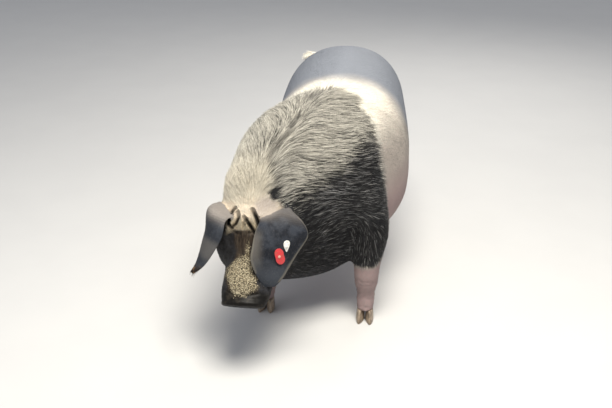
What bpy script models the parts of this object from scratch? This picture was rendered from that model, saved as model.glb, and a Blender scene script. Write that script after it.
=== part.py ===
# A domestic saddleback sow, life size, standing with her head lowered and her neck bent to her right.
# Metres. +Z is up, -Y is the way the trunk faces and +X is the sow's left.
# The origin is on the floor, under the middle of her box.
import math
import random
from collections import namedtuple

import bmesh
import bpy
import numpy as np
from mathutils import Matrix, Vector

# Driving sizes
WITHERS_HEIGHT = 0.850
TRUNK_LENGTH = 1.13
HEAD_PITCH = math.radians(55.0)
MUZZLE_LEAN = 0.008
EYE_RADIUS = 0.0125
TAIL_LENGTH = 0.216
GAP = 0.0003

# The bristles of the neck and shoulders stand in locks, wider than real ones so that they cover the coat.
LOCK_LENGTH = 0.092
LOCK_WIDTH = 0.042
LOCK_LIFT = 0.011
LOCK_STEP = 0.046
LOCK_SPREAD = 0.037
BRISTLES_START = -0.20
BRISTLES_END = 0.24
TEAT_PAIRS = 6
TEAT_SIDES = 6

# Where the ground point under the withers stands, seen from the middle of the box
WITHERS_X = -0.0461
WITHERS_Y = -0.3407

# Heights along the trunk, as shares of the height at the withers
RUMP_SHARE = 1.040
BELLY_SHARE = 0.278

TRUNK_SIDES = 32
HEAD_SIDES = 32
LEG_SIDES = 18
BAG_SIDES = 16
FLESH_FACES = 3980
CLAW_SPREAD = 0.0192

# Colours
BLACK_SKIN = (0.045, 0.042, 0.045)
PALE_SKIN = (0.72, 0.58, 0.50)
SLATE_EAR = (0.075, 0.078, 0.088)
MUDDY_SNOUT = (0.24, 0.19, 0.12)
CLAW_HORN = (0.16, 0.12, 0.09)
EYE_BROWN = (0.03, 0.018, 0.010)
TAG_RED = (0.62, 0.05, 0.05)
TAG_WHITE = (0.78, 0.76, 0.70)

for leftover in list(bpy.data.objects):
    bpy.data.objects.remove(leftover)

part = bpy.data.collections.new("saddleback_sow")
bpy.context.scene.collection.children.link(part)
workshop = bpy.data.collections.new("workshop")
bpy.context.scene.collection.children.link(workshop)

# back and belly are the section's highest and lowest points, level is the share of its height
# at which it is widest, square is 2 for an ellipse and more for a boxier outline.
Section = namedtuple("Section", "back belly half_width level square yaw")


def spot(x, y, z):
    """A point given from the ground under the withers."""
    return Vector((WITHERS_X + x, WITHERS_Y + y, z))


# Small tools for meshes and objects


def new_object(name, bm, smooth_angle=50):
    bmesh.ops.triangulate(bm, faces=bm.faces)
    bmesh.ops.recalc_face_normals(bm, faces=bm.faces)
    mesh = bpy.data.meshes.new(name)
    bm.to_mesh(mesh)
    bm.free()
    mesh.shade_smooth()
    mesh.set_sharp_from_angle(angle=math.radians(smooth_angle))
    thing = bpy.data.objects.new(name, mesh)
    workshop.objects.link(thing)
    return thing


def settle(thing):
    """Applies what the modifiers make."""
    graph = bpy.context.evaluated_depsgraph_get()
    mesh = bpy.data.meshes.new_from_object(thing.evaluated_get(graph))
    thing.modifiers.clear()
    old, thing.data = thing.data, mesh
    bpy.data.meshes.remove(old)


def remove(thing):
    mesh = thing.data
    bpy.data.objects.remove(thing)
    if not mesh.users:
        bpy.data.meshes.remove(mesh)


def islands(bm):
    """The closed surfaces of a mesh, as lists of faces."""
    left = set(bm.faces)
    found = []
    while left:
        front = [left.pop()]
        island = list(front)
        while front:
            for edge in front.pop().edges:
                for face in edge.link_faces:
                    if face in left:
                        left.remove(face)
                        front.append(face)
                        island.append(face)
        found.append(island)
    return found


def keep_largest(thing):
    """Drops every loose scrap, so that one closed body is left."""
    bm = bmesh.new()
    bm.from_mesh(thing.data)
    bmesh.ops.triangulate(bm, faces=bm.faces)
    parts = sorted(islands(bm), key=lambda faces: sum(f.calc_area() for f in faces))
    spare = {vert for faces in parts[:-1] for face in faces for vert in face.verts}
    bmesh.ops.delete(bm, geom=list(spare), context="VERTS")
    bmesh.ops.remove_doubles(bm, verts=bm.verts, dist=1e-6)
    bmesh.ops.dissolve_degenerate(bm, edges=bm.edges, dist=2e-6)
    bmesh.ops.triangulate(bm, faces=bm.faces)
    bm.to_mesh(thing.data)
    bm.free()


def grown(thing, by):
    """A copy whose surface stands out by a small amount."""
    bm = bmesh.new()
    bm.from_mesh(thing.data)
    bm.normal_update()
    moves = {vert: vert.normal * by for vert in bm.verts}
    for vert, move in moves.items():
        vert.co += move
    return new_object(thing.name + "_grown", bm)


def carve(thing, tool, by=GAP, solver="MANIFOLD"):
    """Takes away from thing all that lies within a gap of tool."""
    cutter = grown(tool, by)
    cut = thing.modifiers.new("carve", "BOOLEAN")
    cut.operation = "DIFFERENCE"
    cut.solver = solver
    cut.object = cutter
    settle(thing)
    remove(cutter)


def fuse(thing, pieces, solver="MANIFOLD"):
    """Joins closed pieces into thing with one union, and removes them."""
    group = bpy.data.collections.new(thing.name + "_pieces")
    bpy.context.scene.collection.children.link(group)
    for piece in pieces:
        workshop.objects.unlink(piece)
        group.objects.link(piece)
    join = thing.modifiers.new("join", "BOOLEAN")
    join.operation = "UNION"
    join.operand_type = "COLLECTION"
    join.collection = group
    join.solver = solver
    settle(thing)
    for piece in pieces:
        remove(piece)
    bpy.data.collections.remove(group)


def common(thing, tool, solver="MANIFOLD"):
    """A copy of the part of thing that lies within tool."""
    copy = bpy.data.objects.new(thing.name + "_share", thing.data.copy())
    workshop.objects.link(copy)
    cut = copy.modifiers.new("common", "BOOLEAN")
    cut.operation = "INTERSECT"
    cut.solver = solver
    cut.object = tool
    settle(copy)
    return copy


def paint(thing, colour, roughness=0.7):
    material = bpy.data.materials.new(thing.name + "_finish")
    material.use_nodes = True
    shader = material.node_tree.nodes["Principled BSDF"]
    shader.inputs["Base Color"].default_value = (*colour, 1.0)
    shader.inputs["Roughness"].default_value = roughness
    shader.inputs["Metallic"].default_value = 0.0
    material.diffuse_color = (*colour, 1.0)
    thing.data.materials.clear()
    thing.data.materials.append(material)


def finish(thing, colour, roughness=0.7):
    """Makes thing a node of the part."""
    keep_largest(thing)
    thing.data.shade_smooth()
    thing.data.set_sharp_from_angle(angle=math.radians(45))
    paint(thing, colour, roughness)
    workshop.objects.unlink(thing)
    part.objects.link(thing)


# Smooth runs through a few named sections


def flow(places, values, where):
    """A smooth curve through values at places, with no overshoot, read at where."""
    places = np.asarray(places, float)
    values = np.asarray(values, float)
    step = np.diff(places)
    rise = np.diff(values) / step
    slope = np.zeros(len(values))
    slope[0], slope[-1] = rise[0], rise[-1]
    for k in range(1, len(values) - 1):
        if rise[k - 1] * rise[k] > 0:
            before, after = step[k - 1], step[k]
            weight = (2 * after + before, after + 2 * before)
            slope[k] = sum(weight) / (weight[0] / rise[k - 1] + weight[1] / rise[k])
    k = np.clip(np.searchsorted(places, where) - 1, 0, len(step) - 1)
    t = (where - places[k]) / step[k]
    return (
        values[k] * (1 + 2 * t) * (1 - t) ** 2
        + slope[k] * step[k] * t * (1 - t) ** 2
        + values[k + 1] * t * t * (3 - 2 * t)
        + slope[k + 1] * step[k] * t * t * (t - 1)
    )


def refine(sections, between):
    """More sections, on smooth curves through the given ones."""
    rows = np.array(
        [[*s.back, *s.belly, s.half_width, s.level, s.square, s.yaw] for s in sections]
    )
    middles = (rows[:, 0:3] + rows[:, 3:6]) / 2
    places = np.concatenate([[0], np.cumsum(np.linalg.norm(np.diff(middles, axis=0), axis=1))])
    where = []
    for start, end in zip(places[:-1], places[1:]):
        where.extend(np.linspace(start, end, between + 1)[:-1])
    where.append(places[-1])
    columns = [flow(places, rows[:, c], np.array(where)) for c in range(rows.shape[1])]
    made = []
    for row in np.array(columns).T:
        made.append(Section(Vector(row[0:3]), Vector(row[3:6]), *row[6:10]))
    return made


def outline(section, sides):
    """The points of one closed section."""
    centre = section.belly.lerp(section.back, section.level)
    across = Vector((math.cos(section.yaw), math.sin(section.yaw), 0))
    power = 2 / section.square
    points = []
    for k in range(sides):
        angle = math.tau * (k + 0.5) / sides
        side = math.copysign(abs(math.cos(angle)) ** power, math.cos(angle))
        rise = abs(math.sin(angle)) ** power
        reach = section.back - centre if math.sin(angle) > 0 else section.belly - centre
        points.append(centre + across * (section.half_width * side) + reach * rise)
    return points


def loft(name, rings, rounded=()):
    """A closed body through rings of points. Its ends are flat, or pulled to a point where rounded names an end."""
    bm = bmesh.new()
    rows = [[bm.verts.new(point) for point in ring] for ring in rings]
    for row, following in zip(rows[:-1], rows[1:]):
        for k in range(len(row)):
            j = (k + 1) % len(row)
            bm.faces.new((row[k], row[j], following[j], following[k]))
    for row, inner in ((rows[0], rows[1]), (rows[-1], rows[-2])):
        middle = sum((vert.co for vert in row), Vector()) / len(row)
        if ("start" if row is rows[0] else "end") in rounded:
            within = sum((vert.co for vert in inner), Vector()) / len(inner)
            middle += (middle - within) * 0.35
        tip = bm.verts.new(middle)
        for k in range(len(row)):
            bm.faces.new((row[k], row[(k + 1) % len(row)], tip))
    return new_object(name, bm)


# The head has its own axis: along runs from the poll to the snout and face is square to the face, outwards.
POLL = spot(-0.122, -0.225, 0.640)
ALONG = Vector((0.0, -math.cos(HEAD_PITCH), -math.sin(HEAD_PITCH)))
FACE = Vector((0.0, -math.sin(HEAD_PITCH), math.cos(HEAD_PITCH)))
ACROSS = Vector((1.0, 0.0, 0.0))


def on_head(along, side, rise):
    """A point given along the face from the poll, to the sow's left, and out from the line of the face."""
    return POLL + ALONG * along + ACROSS * side + FACE * rise


def muzzle_side(along):
    """The muzzle leans a little to the sow's right towards the snout."""
    return -MUZZLE_LEAN * max(0.0, (along - 0.26) / 0.13) ** 1.5


def muzzle_section(along, rise, depth, half_width, level=0.5, square=2.15):
    """A section of the head square to the line of the face."""
    side = muzzle_side(along)
    return Section(on_head(along, side, rise), on_head(along, side, rise - depth), half_width, level, square, 0.0)


def trunk_sections():
    top = WITHERS_HEIGHT
    rump = top * RUMP_SHARE
    low = top * BELLY_SHARE
    long = TRUNK_LENGTH

    def upright(share, back_x, belly_x, back_z, belly_z, half_width, level=0.47, square=2.25):
        y = share * long
        return Section(spot(back_x, y, back_z), spot(belly_x, y, belly_z), half_width, level, square, 0.0)

    axis = 0.116
    return [
        upright(0.995, axis, axis, rump - 0.165, low + 0.325, 0.075, 0.5),
        upright(0.978, axis, axis, rump - 0.105, low + 0.235, 0.145, 0.5),
        upright(0.935, axis, axis, rump - 0.052, low + 0.160, 0.208, 0.52),
        upright(0.865, axis, axis, rump - 0.016, low + 0.100, 0.254, 0.53),
        upright(0.760, axis, axis, rump, low + 0.045, 0.277, 0.52),
        upright(0.620, axis + 0.006, axis + 0.006, rump - 0.004, low + 0.006, 0.289, 0.50),
        upright(0.460, axis + 0.014, axis + 0.016, rump - 0.020, low - 0.020, 0.299, 0.47, 2.3),
        upright(0.310, axis + 0.008, axis + 0.018, rump - 0.034, low - 0.018, 0.302, 0.45, 2.3),
        upright(0.195, axis - 0.050, axis, top + 0.006, low - 0.020, 0.294, 0.46),
        upright(0.100, axis - 0.102, axis - 0.040, top, low - 0.028, 0.290, 0.46),
    ]


def neck_sections():
    """From the shoulders to the poll. The sections lean more and more, as the head hangs."""

    def leaning(back, belly, half_width, level, turn):
        return Section(spot(*back), spot(*belly), half_width, level, 2.25, math.radians(turn))

    return [
        leaning((-0.002, 0.000, 0.834), (0.068, 0.012, 0.204), 0.276, 0.46, 10),
        leaning((-0.036, -0.092, 0.794), (0.042, -0.050, 0.198), 0.260, 0.45, 15),
        leaning((-0.072, -0.157, 0.746), (-0.014, -0.092, 0.205), 0.226, 0.45, 15),
        leaning((-0.106, -0.203, 0.693), (-0.072, -0.122, 0.220), 0.186, 0.45, 8),
    ]


def head_sections():
    """Upright behind, where the cheeks and jowls hang, and square to the face along the muzzle."""

    def cheek(along, rise, throat_y, throat_z, half_width, level):
        throat = spot(0, throat_y, throat_z)
        return Section(on_head(along, 0, rise), Vector((POLL.x, throat.y, throat.z)), half_width, level, 2.1, 0.0)

    return [
        cheek(0.000, 0.000, -0.148, 0.234, 0.158, 0.50),
        cheek(0.060, 0.006, -0.178, 0.243, 0.149, 0.53),
        cheek(0.115, 0.004, -0.208, 0.258, 0.137, 0.55),
        cheek(0.165, -0.006, -0.232, 0.282, 0.116, 0.56),
        cheek(0.208, -0.012, -0.248, 0.310, 0.100, 0.56),
        muzzle_section(0.252, -0.013, 0.138, 0.092, 0.50, 2.15),
        muzzle_section(0.300, -0.009, 0.118, 0.090, 0.50, 2.1),
        muzzle_section(0.350, -0.003, 0.106, 0.090, 0.50, 2.05),
        muzzle_section(0.392, -0.001, 0.100, 0.087, 0.50, 2.0),
    ]


def jaw_sections():
    """The lower jaw, under the muzzle. Its tip stops short of the snout."""
    return [
        muzzle_section(0.222, -0.080, 0.112, 0.082, 0.6, 2.2),
        muzzle_section(0.252, -0.080, 0.120, 0.088, 0.6, 2.3),
        muzzle_section(0.296, -0.080, 0.105, 0.082, 0.6, 2.3),
        muzzle_section(0.336, -0.080, 0.083, 0.072, 0.6, 2.3),
        muzzle_section(0.362, -0.082, 0.060, 0.058, 0.6, 2.2),
        muzzle_section(0.376, -0.087, 0.036, 0.038, 0.6, 2.0),
    ]


def make_trunk():
    """One smooth run from rump to muzzle."""
    whole = refine(trunk_sections() + neck_sections() + head_sections(), 2)
    return loft("flesh", [outline(section, TRUNK_SIDES) for section in whole], rounded=("start",))


# Legs. Each row is a level: height, then the middle's x and y from the foot, then the half sizes in x and y.

Level = namedtuple("Level", "height x y half_x half_y")

FORELEG = [
    Level(0.680, -0.060, 0.112, 0.022, 0.040),
    Level(0.640, -0.048, 0.108, 0.045, 0.078),
    Level(0.575, -0.030, 0.100, 0.068, 0.112),
    Level(0.490, -0.008, 0.082, 0.080, 0.130),
    Level(0.410, 0.006, 0.058, 0.080, 0.118),
    Level(0.350, 0.010, 0.036, 0.073, 0.092),
    Level(0.290, 0.006, 0.018, 0.064, 0.070),
    Level(0.235, 0.002, 0.006, 0.056, 0.058),
    Level(0.190, 0.000, 0.001, 0.052, 0.053),
    Level(0.158, 0.000, 0.002, 0.047, 0.048),
    Level(0.125, 0.000, 0.006, 0.037, 0.039),
    Level(0.098, 0.000, 0.005, 0.036, 0.039),
    Level(0.070, 0.000, -0.004, 0.036, 0.038),
    Level(0.046, 0.000, -0.013, 0.035, 0.036),
]

HIND_LEG = [
    Level(0.765, -0.055, 0.010, 0.025, 0.060),
    Level(0.715, -0.038, 0.010, 0.062, 0.110),
    Level(0.630, -0.018, 0.004, 0.094, 0.152),
    Level(0.540, -0.004, -0.010, 0.106, 0.166),
    Level(0.455, 0.002, -0.024, 0.102, 0.150),
    Level(0.385, 0.002, -0.022, 0.085, 0.118),
    Level(0.325, 0.000, 0.002, 0.064, 0.083),
    Level(0.275, 0.000, 0.028, 0.050, 0.062),
    Level(0.240, 0.000, 0.040, 0.043, 0.056),
    Level(0.205, 0.000, 0.038, 0.037, 0.046),
    Level(0.155, 0.000, 0.026, 0.032, 0.037),
    Level(0.105, 0.000, 0.012, 0.036, 0.041),
    Level(0.072, 0.000, -0.002, 0.036, 0.038),
    Level(0.046, 0.000, -0.011, 0.035, 0.036),
]

# Where each foot stands, from the ground under the withers, and which way is outwards
FEET = {
    "front_left": (0.280, 0.010, 1, FORELEG),
    "front_right": (-0.128, 0.050, -1, FORELEG),
    "hind_left": (0.268, 0.905, 1, HIND_LEG),
    "hind_right": (-0.018, 0.965, -1, HIND_LEG),
}


def make_leg(name, foot_x, foot_y, outwards, levels):
    rings = []
    heights = [level.height for level in levels]
    order = heights[::-1]
    where = sorted(set(heights + [(a + b) / 2 for a, b in zip(heights[1:7], heights[:6])]), reverse=True)
    columns = {
        field: [flow(order, [getattr(level, field) for level in levels][::-1], z) for z in where]
        for field in ("x", "y", "half_x", "half_y")
    }
    for z, x, y, half_x, half_y in zip(where, *columns.values()):
        ring = []
        for k in range(LEG_SIDES):
            angle = math.tau * (k + 0.5) / LEG_SIDES
            ring.append(
                spot(
                    foot_x + outwards * x + half_x * math.cos(angle),
                    foot_y + y + half_y * math.sin(angle),
                    z,
                )
            )
        rings.append(ring)
    return loft("leg_" + name, rings, rounded=("start",))


def squared(angle, power):
    """A point of a rounded square."""
    x, y = math.cos(angle), math.sin(angle)
    return math.copysign(abs(x) ** power, x), math.copysign(abs(y) ** power, y)


def leg_bag(name, foot_x, foot_y, outwards, levels):
    """The space that a leg takes up: the part line between leg and body is where its side meets the skin."""
    front = levels is FORELEG
    top, middle_y, half_y, inner = (0.62, 0.062, 0.150, 0.082) if front else (0.69, -0.020, 0.190, 0.110)
    rings = []
    for share in (0.0, 0.25, 0.5, 0.7, 0.82, 0.91, 0.97, 1.0):
        z = -0.02 + (top + 0.02) * share
        pinch = (1 - max(0.0, share - 0.5) ** 2 * 3.9) ** 0.5
        narrow = 0.55 + 0.45 * min(1.0, share / 0.55)
        ring = []
        for k in range(BAG_SIDES):
            angle = math.tau * (k + 0.5) / BAG_SIDES
            side, fore = squared(angle, 0.7)
            reach = 0.06 + (inner + 0.06) * side * (0.75 + 0.25 * pinch)
            along = foot_y + middle_y * share + half_y * narrow * pinch * fore
            ring.append(spot(foot_x + outwards * reach, along, z))
        rings.append(ring)
    return loft("bag_" + name, rings, rounded=("end",))


def half_space(name, section, forwards):
    """A large block in front of a section's plane, or behind it."""
    upwards = (section.back - section.belly).normalized()
    across = Vector((math.cos(section.yaw), math.sin(section.yaw), 0))
    normal = across.cross(upwards).normalized()
    if (normal.y < 0) != forwards:
        normal = -normal
    middle = section.back.lerp(section.belly, 0.5) + normal * (GAP / 2)
    size = 1.2
    rings = []
    for reach in (0.0, 2.0):
        corners = ((-1, -1), (1, -1), (1, 1), (-1, 1))
        rings.append([middle + normal * reach + across * a * size + upwards * b * size for a, b in corners])
    return loft(name, rings)


def soften(thing, voxel, rounds, faces):
    """Blends the joins of united bodies, then thins the mesh out to a number of faces."""
    remesh = thing.modifiers.new("remesh", "REMESH")
    remesh.mode = "VOXEL"
    remesh.voxel_size = voxel
    remesh.use_smooth_shade = True
    settle(thing)
    mesh = thing.data
    count = len(mesh.vertices)
    places = np.empty(count * 3)
    mesh.vertices.foreach_get("co", places)
    places = places.reshape(-1, 3)
    pairs = np.empty(len(mesh.edges) * 2, int)
    mesh.edges.foreach_get("vertices", pairs)
    pairs = pairs.reshape(-1, 2)
    links = np.bincount(pairs.ravel(), minlength=count)
    # Feet and muzzle keep their shape, the body and the tops of the legs blend.
    body = np.clip((places[:, 2] - 0.16) / 0.12, 0.0, 1.0)
    behind_face = np.clip((places[:, 1] - POLL.y + 0.05) / 0.08, 0.0, 1.0)
    weight = 0.12 + 0.88 * body * behind_face
    for step in range(rounds):
        total = np.zeros_like(places)
        np.add.at(total, pairs[:, 0], places[pairs[:, 1]])
        np.add.at(total, pairs[:, 1], places[pairs[:, 0]])
        mean = total / links[:, None]
        places += (mean - places) * (0.5 * weight)[:, None]
    mesh.vertices.foreach_set("co", places.ravel())
    thin = thing.modifiers.new("thin", "DECIMATE")
    thin.ratio = faces / (2 * len(mesh.polygons))
    settle(thing)


def make_claw(name, x, y, outwards, toe_out):
    """One half of the cloven hoof, flat below, with a pointed toe."""
    length, width = 0.076, 0.046
    rings = []
    for z, lean, swell in ((0.0, 0.000, 0.96), (0.008, 0.001, 1.0), (0.030, 0.007, 0.93), (0.051, 0.013, 0.82)):
        ring = []
        for k in range(12):
            angle = math.tau * (k + 0.5) / 12
            narrow = 0.72 + 0.28 * math.sin(angle)
            side = 0.5 * width * math.cos(angle) * narrow * swell
            front = 0.5 * length * math.sin(angle) * swell + lean
            turned = Matrix.Rotation(outwards * toe_out, 2) @ Vector((side, front))
            ring.append(spot(x + turned.x, y + turned.y, z))
        rings.append(ring)
    return loft(name, rings)


def make_dewclaw(name, x, y, outwards):
    """A small horn cone behind the pastern, its point down and back."""
    rings = []
    for share in (0.0, 0.5, 1.0):
        radius = 0.0125 * (1 - share) ** 0.6 + 0.0022
        middle = Vector((x + outwards * 0.005 * share, y + 0.018 * share, 0.093 - 0.036 * share))
        ring = []
        for k in range(7):
            angle = math.tau * k / 7
            ring.append(spot(middle.x + radius * math.cos(angle), middle.y + 0.8 * radius * math.sin(angle), middle.z))
        rings.append(ring)
    return loft(name, rings)


# Ears: a sheet of gristle that leaves the head as a scoop, opens into a cup and hangs over the eye.
# Each row is a share of the length, the near edge, the far edge and how far the middle bows out.

EarRow = namedtuple("EarRow", "share near far bow")

LEFT_EAR = [
    EarRow(0.00, spot(-0.082, -0.264, 0.560), spot(-0.012, -0.190, 0.575), 0.010),
    EarRow(0.20, spot(-0.096, -0.325, 0.550), spot(0.049, -0.245, 0.554), 0.038),
    EarRow(0.40, spot(-0.104, -0.372, 0.494), spot(0.089, -0.277, 0.506), 0.030),
    EarRow(0.60, spot(-0.109, -0.390, 0.452), spot(0.061, -0.310, 0.465), 0.022),
    EarRow(0.80, spot(-0.093, -0.397, 0.405), spot(0.028, -0.352, 0.416), 0.014),
    EarRow(0.93, spot(-0.075, -0.399, 0.370), spot(0.000, -0.385, 0.368), 0.009),
    EarRow(1.00, spot(-0.056, -0.397, 0.348), spot(-0.023, -0.394, 0.347), 0.003),
]
RIGHT_EAR = [
    EarRow(0.00, spot(-0.184, -0.268, 0.556), spot(-0.240, -0.195, 0.578), 0.010),
    EarRow(0.20, spot(-0.207, -0.306, 0.556), spot(-0.290, -0.215, 0.572), 0.044),
    EarRow(0.40, spot(-0.213, -0.338, 0.510), spot(-0.294, -0.238, 0.492), 0.028),
    EarRow(0.60, spot(-0.235, -0.352, 0.470), spot(-0.305, -0.262, 0.450), 0.020),
    EarRow(0.80, spot(-0.268, -0.361, 0.416), spot(-0.314, -0.300, 0.405), 0.013),
    EarRow(0.93, spot(-0.299, -0.360, 0.378), spot(-0.324, -0.333, 0.377), 0.007),
    EarRow(1.00, spot(-0.328, -0.352, 0.356), spot(-0.338, -0.346, 0.362), 0.002),
]
EAR_ROWS, EAR_COLUMNS = 12, 9


def ear_sheet(rows, side, share, lift=0.0):
    """A point of the ear's sheet. side runs from 0, its near edge, to 1, and lift is out from its middle."""

    def line(of):
        places = [row.share for row in rows]
        return Vector(flow(places, [of(row)[k] for row in rows], np.array(share)) for k in range(3))

    near, far = line(lambda row: row.near), line(lambda row: row.far)
    bow = line(lambda row: (row.bow, 0.0, 0.0))[0]
    first, last = rows[0], rows[-1]
    length = (last.near + last.far) / 2 - (first.near + first.far) / 2
    outwards = (far - near).cross(length).normalized()
    if outwards.z < 0:
        outwards = -outwards
    bowed = bow * 4 * side * (1 - side)
    # The sheet leans with its own curve, so its thickness stays even.
    lean = (far - near).normalized() * (-4 * bow * (1 - 2 * side) / max((far - near).length, 0.03))
    away = (outwards + lean).normalized()
    return near.lerp(far, side) + outwards * bowed + away * lift


def make_ear(name, rows):
    bm = bmesh.new()
    corner = {}
    for r in range(EAR_ROWS + 1):
        share = r / EAR_ROWS
        for c in range(EAR_COLUMNS + 1):
            side = c / EAR_COLUMNS
            half = 0.0042 - 0.0018 * share - 0.0012 * abs(2 * side - 1) ** 3
            for layer in (-1, 1):
                corner[layer, r, c] = bm.verts.new(ear_sheet(rows, side, share, layer * half))
    for r in range(EAR_ROWS):
        for c in range(EAR_COLUMNS):
            for layer in (-1, 1):
                a, b = corner[layer, r, c], corner[layer, r, c + 1]
                d, e = corner[layer, r + 1, c], corner[layer, r + 1, c + 1]
                bm.faces.new((a, b, e))
                bm.faces.new((a, e, d))
    rim = [(r, 0, r + 1, 0) for r in range(EAR_ROWS)] + [(r, EAR_COLUMNS, r + 1, EAR_COLUMNS) for r in range(EAR_ROWS)]
    rim += [(0, c, 0, c + 1) for c in range(EAR_COLUMNS)] + [(EAR_ROWS, c, EAR_ROWS, c + 1) for c in range(EAR_COLUMNS)]
    for r, c, q, d in rim:
        bm.faces.new((corner[-1, r, c], corner[1, r, c], corner[1, q, d], corner[-1, q, d]))
    return new_object(name, bm)


# Face


def eye_place(head, side):
    """The eye lies in the side of the head, sunk so that its front is just within the skin."""
    level = on_head(0.152, 0.0, -0.046)
    start = level + ACROSS * side * 0.3
    found, hit, normal, index = head.ray_cast(start, ACROSS * -side)
    return hit - ACROSS * side * (EYE_RADIUS - 0.0035)


def ball(name, centre, radius, stretch=(1, 1, 1), rings=7):
    bm = bmesh.new()
    bmesh.ops.create_uvsphere(bm, u_segments=rings + 4, v_segments=rings, radius=radius)
    bmesh.ops.scale(bm, vec=stretch, verts=bm.verts)
    turn = Matrix((ACROSS, -ALONG, FACE)).transposed().to_4x4()
    bmesh.ops.transform(bm, matrix=Matrix.Translation(centre) @ turn, verts=bm.verts)
    return new_object(name, bm)


def tube(name, points, radii):
    """A round bar of changing thickness along points, as one closed mesh."""
    curve = bpy.data.curves.new(name, "CURVE")
    curve.dimensions = "3D"
    curve.bevel_depth = 1.0
    curve.bevel_resolution = 2
    curve.use_fill_caps = True
    spline = curve.splines.new("POLY")
    spline.points.add(len(points) - 1)
    for knot, point, radius in zip(spline.points, points, radii):
        knot.co = (*point, 1.0)
        knot.radius = radius
    guide = bpy.data.objects.new(name, curve)
    workshop.objects.link(guide)
    graph = bpy.context.evaluated_depsgraph_get()
    mesh = bpy.data.meshes.new_from_object(guide.evaluated_get(graph))
    bm = bmesh.new()
    bm.from_mesh(mesh)
    bmesh.ops.remove_doubles(bm, verts=bm.verts, dist=1e-5)
    bpy.data.objects.remove(guide)
    bpy.data.curves.remove(curve)
    bpy.data.meshes.remove(mesh)
    return new_object(name, bm)


def make_lids(centre, side):
    """The two lids, each a soft roll over half of the eye's rim."""
    outwards = (ACROSS * side * 0.80 + FACE * 0.60).normalized()
    towards_snout = (ALONG - outwards * ALONG.dot(outwards)).normalized()
    upwards = outwards.cross(towards_snout) * -side
    if upwards.dot(FACE) < 0:
        upwards = -upwards
    lids = []
    for lid, rise in (("upper", 0.0098), ("lower", -0.0078)):
        points, radii = [], []
        for k in range(9):
            turn = math.pi * k / 8
            along = -0.0205 * math.cos(turn)
            up = rise * math.sin(turn)
            out = 0.0085 + 0.0032 * math.sin(turn) - (0.0035 if k in (0, 8) else 0)
            points.append(centre + towards_snout * along + upwards * up + outwards * out)
            radii.append(0.0026 + 0.0022 * math.sin(turn))
        lids.append(tube(f"lid_{lid}", points, radii))
    return lids


# The mouth's line from its corner forwards: along the face, and in from the line of the face
MOUTH_LINE = [(0.238, -0.106), (0.262, -0.1005), (0.290, -0.0975), (0.318, -0.0965), (0.346, -0.0965)]


def lip_edge(head, side):
    """The points of the skin along the mouth's line on one side, each with its way outwards."""
    points = []
    for along, rise in MOUTH_LINE:
        found, hit, normal, index = head.ray_cast(on_head(along, side * 0.3, rise), ACROSS * -side)
        points.append(hit)
    return points


def make_lips(edges):
    """Soft rolls above and below the mouth's line."""
    lips = []
    for side, edge in zip((1, -1), edges):
        for rise, sink in ((0.0075, 0.0052), (-0.0070, 0.0058)):
            count = len(edge)
            points = [point + FACE * rise - ACROSS * side * sink for point in edge]
            radii = [0.0035 + 0.0036 * math.sin(math.pi * (k + 0.6) / count) for k in range(count)]
            lips.append(tube("lip", points, radii))
    return lips


def mouth_groove(edges):
    """A thin band bent round the muzzle. It cuts the line of the mouth, deeper towards the front."""
    thick, outside = 0.0012, 0.030
    left, right = edges
    count = len(left)
    stations = []
    for k, point in enumerate(left):
        depth = 0.0015 + 0.0105 * k / (count - 1)
        stations.append((point - ACROSS * depth, point + ACROSS * outside))
    half = (left[-1] - right[-1]).length / 2
    middle = (left[-1] + right[-1]) / 2
    for k in range(1, 8):
        turn = math.pi * k / 8
        way = ACROSS * math.cos(turn)
        inner = middle + way * (half - 0.012) + ALONG * (0.016 * math.sin(turn))
        outer = middle + way * (half + outside) + ALONG * (0.080 * math.sin(turn))
        stations.append((inner, outer))
    for k, point in reversed(list(enumerate(right))):
        depth = 0.0015 + 0.0105 * k / (count - 1)
        stations.append((point + ACROSS * depth, point - ACROSS * outside))
    rings = []
    for inner, outer in stations:
        rings.append([inner - FACE * thick, outer - FACE * thick, outer + FACE * thick, inner + FACE * thick])
    return loft("mouth_groove", rings)


def make_snout():
    """The flat disc of the nose, with two open nostrils."""
    start = 0.390 + GAP
    rings = []
    for along, wide, high in (
        (start, 0.0750, 0.0480),
        (start + 0.005, 0.0790, 0.0525),
        (start + 0.014, 0.0810, 0.0548),
        (start + 0.020, 0.0788, 0.0532),
        (start + 0.0235, 0.0725, 0.0480),
    ):
        middle = -0.0440
        ring = []
        for k in range(28):
            angle = math.tau * (k + 0.5) / 28
            rise = math.sin(angle)
            side = math.cos(angle) * (1 + 0.10 * rise)
            ring.append(on_head(along, muzzle_side(along) + wide * side, middle + high * rise))
        rings.append(ring)
    snout = loft("snout", rings)
    for side in (-1, 1):
        across = muzzle_side(start) + side * 0.0295
        hole = ball("nostril", on_head(start + 0.021, across, -0.0440), 0.0130, (0.92, 1.35, 1.08), 7)
        carve(snout, hole, by=0.0)
        remove(hole)
    return snout


# Bristles

LOCK_SHARES = (0.0, 0.42, 0.76, 1.0)


def lock(path, outwards, width):
    """A flat, tapered tuft along a path of four points, which narrows to its tip."""
    rings = []
    for k, (share_of_width, thick) in enumerate(((0.75, 0.0030), (1.0, 0.0034), (0.62, 0.0024))):
        along = (path[k + 1] - path[k]).normalized()
        across = along.cross(outwards[k]).normalized() * (width / 2 * share_of_width)
        up = across.cross(along).normalized() * thick
        rings.append([path[k] + across, path[k] + up, path[k] - across, path[k] - up])
    body = loft("lock", rings)
    bm = bmesh.new()
    bm.from_mesh(body.data)
    bm.verts.ensure_lookup_table()
    bm.verts[len(bm.verts) - 1].co = path[3]
    remove(body)
    return new_object("lock", bm)


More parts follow.
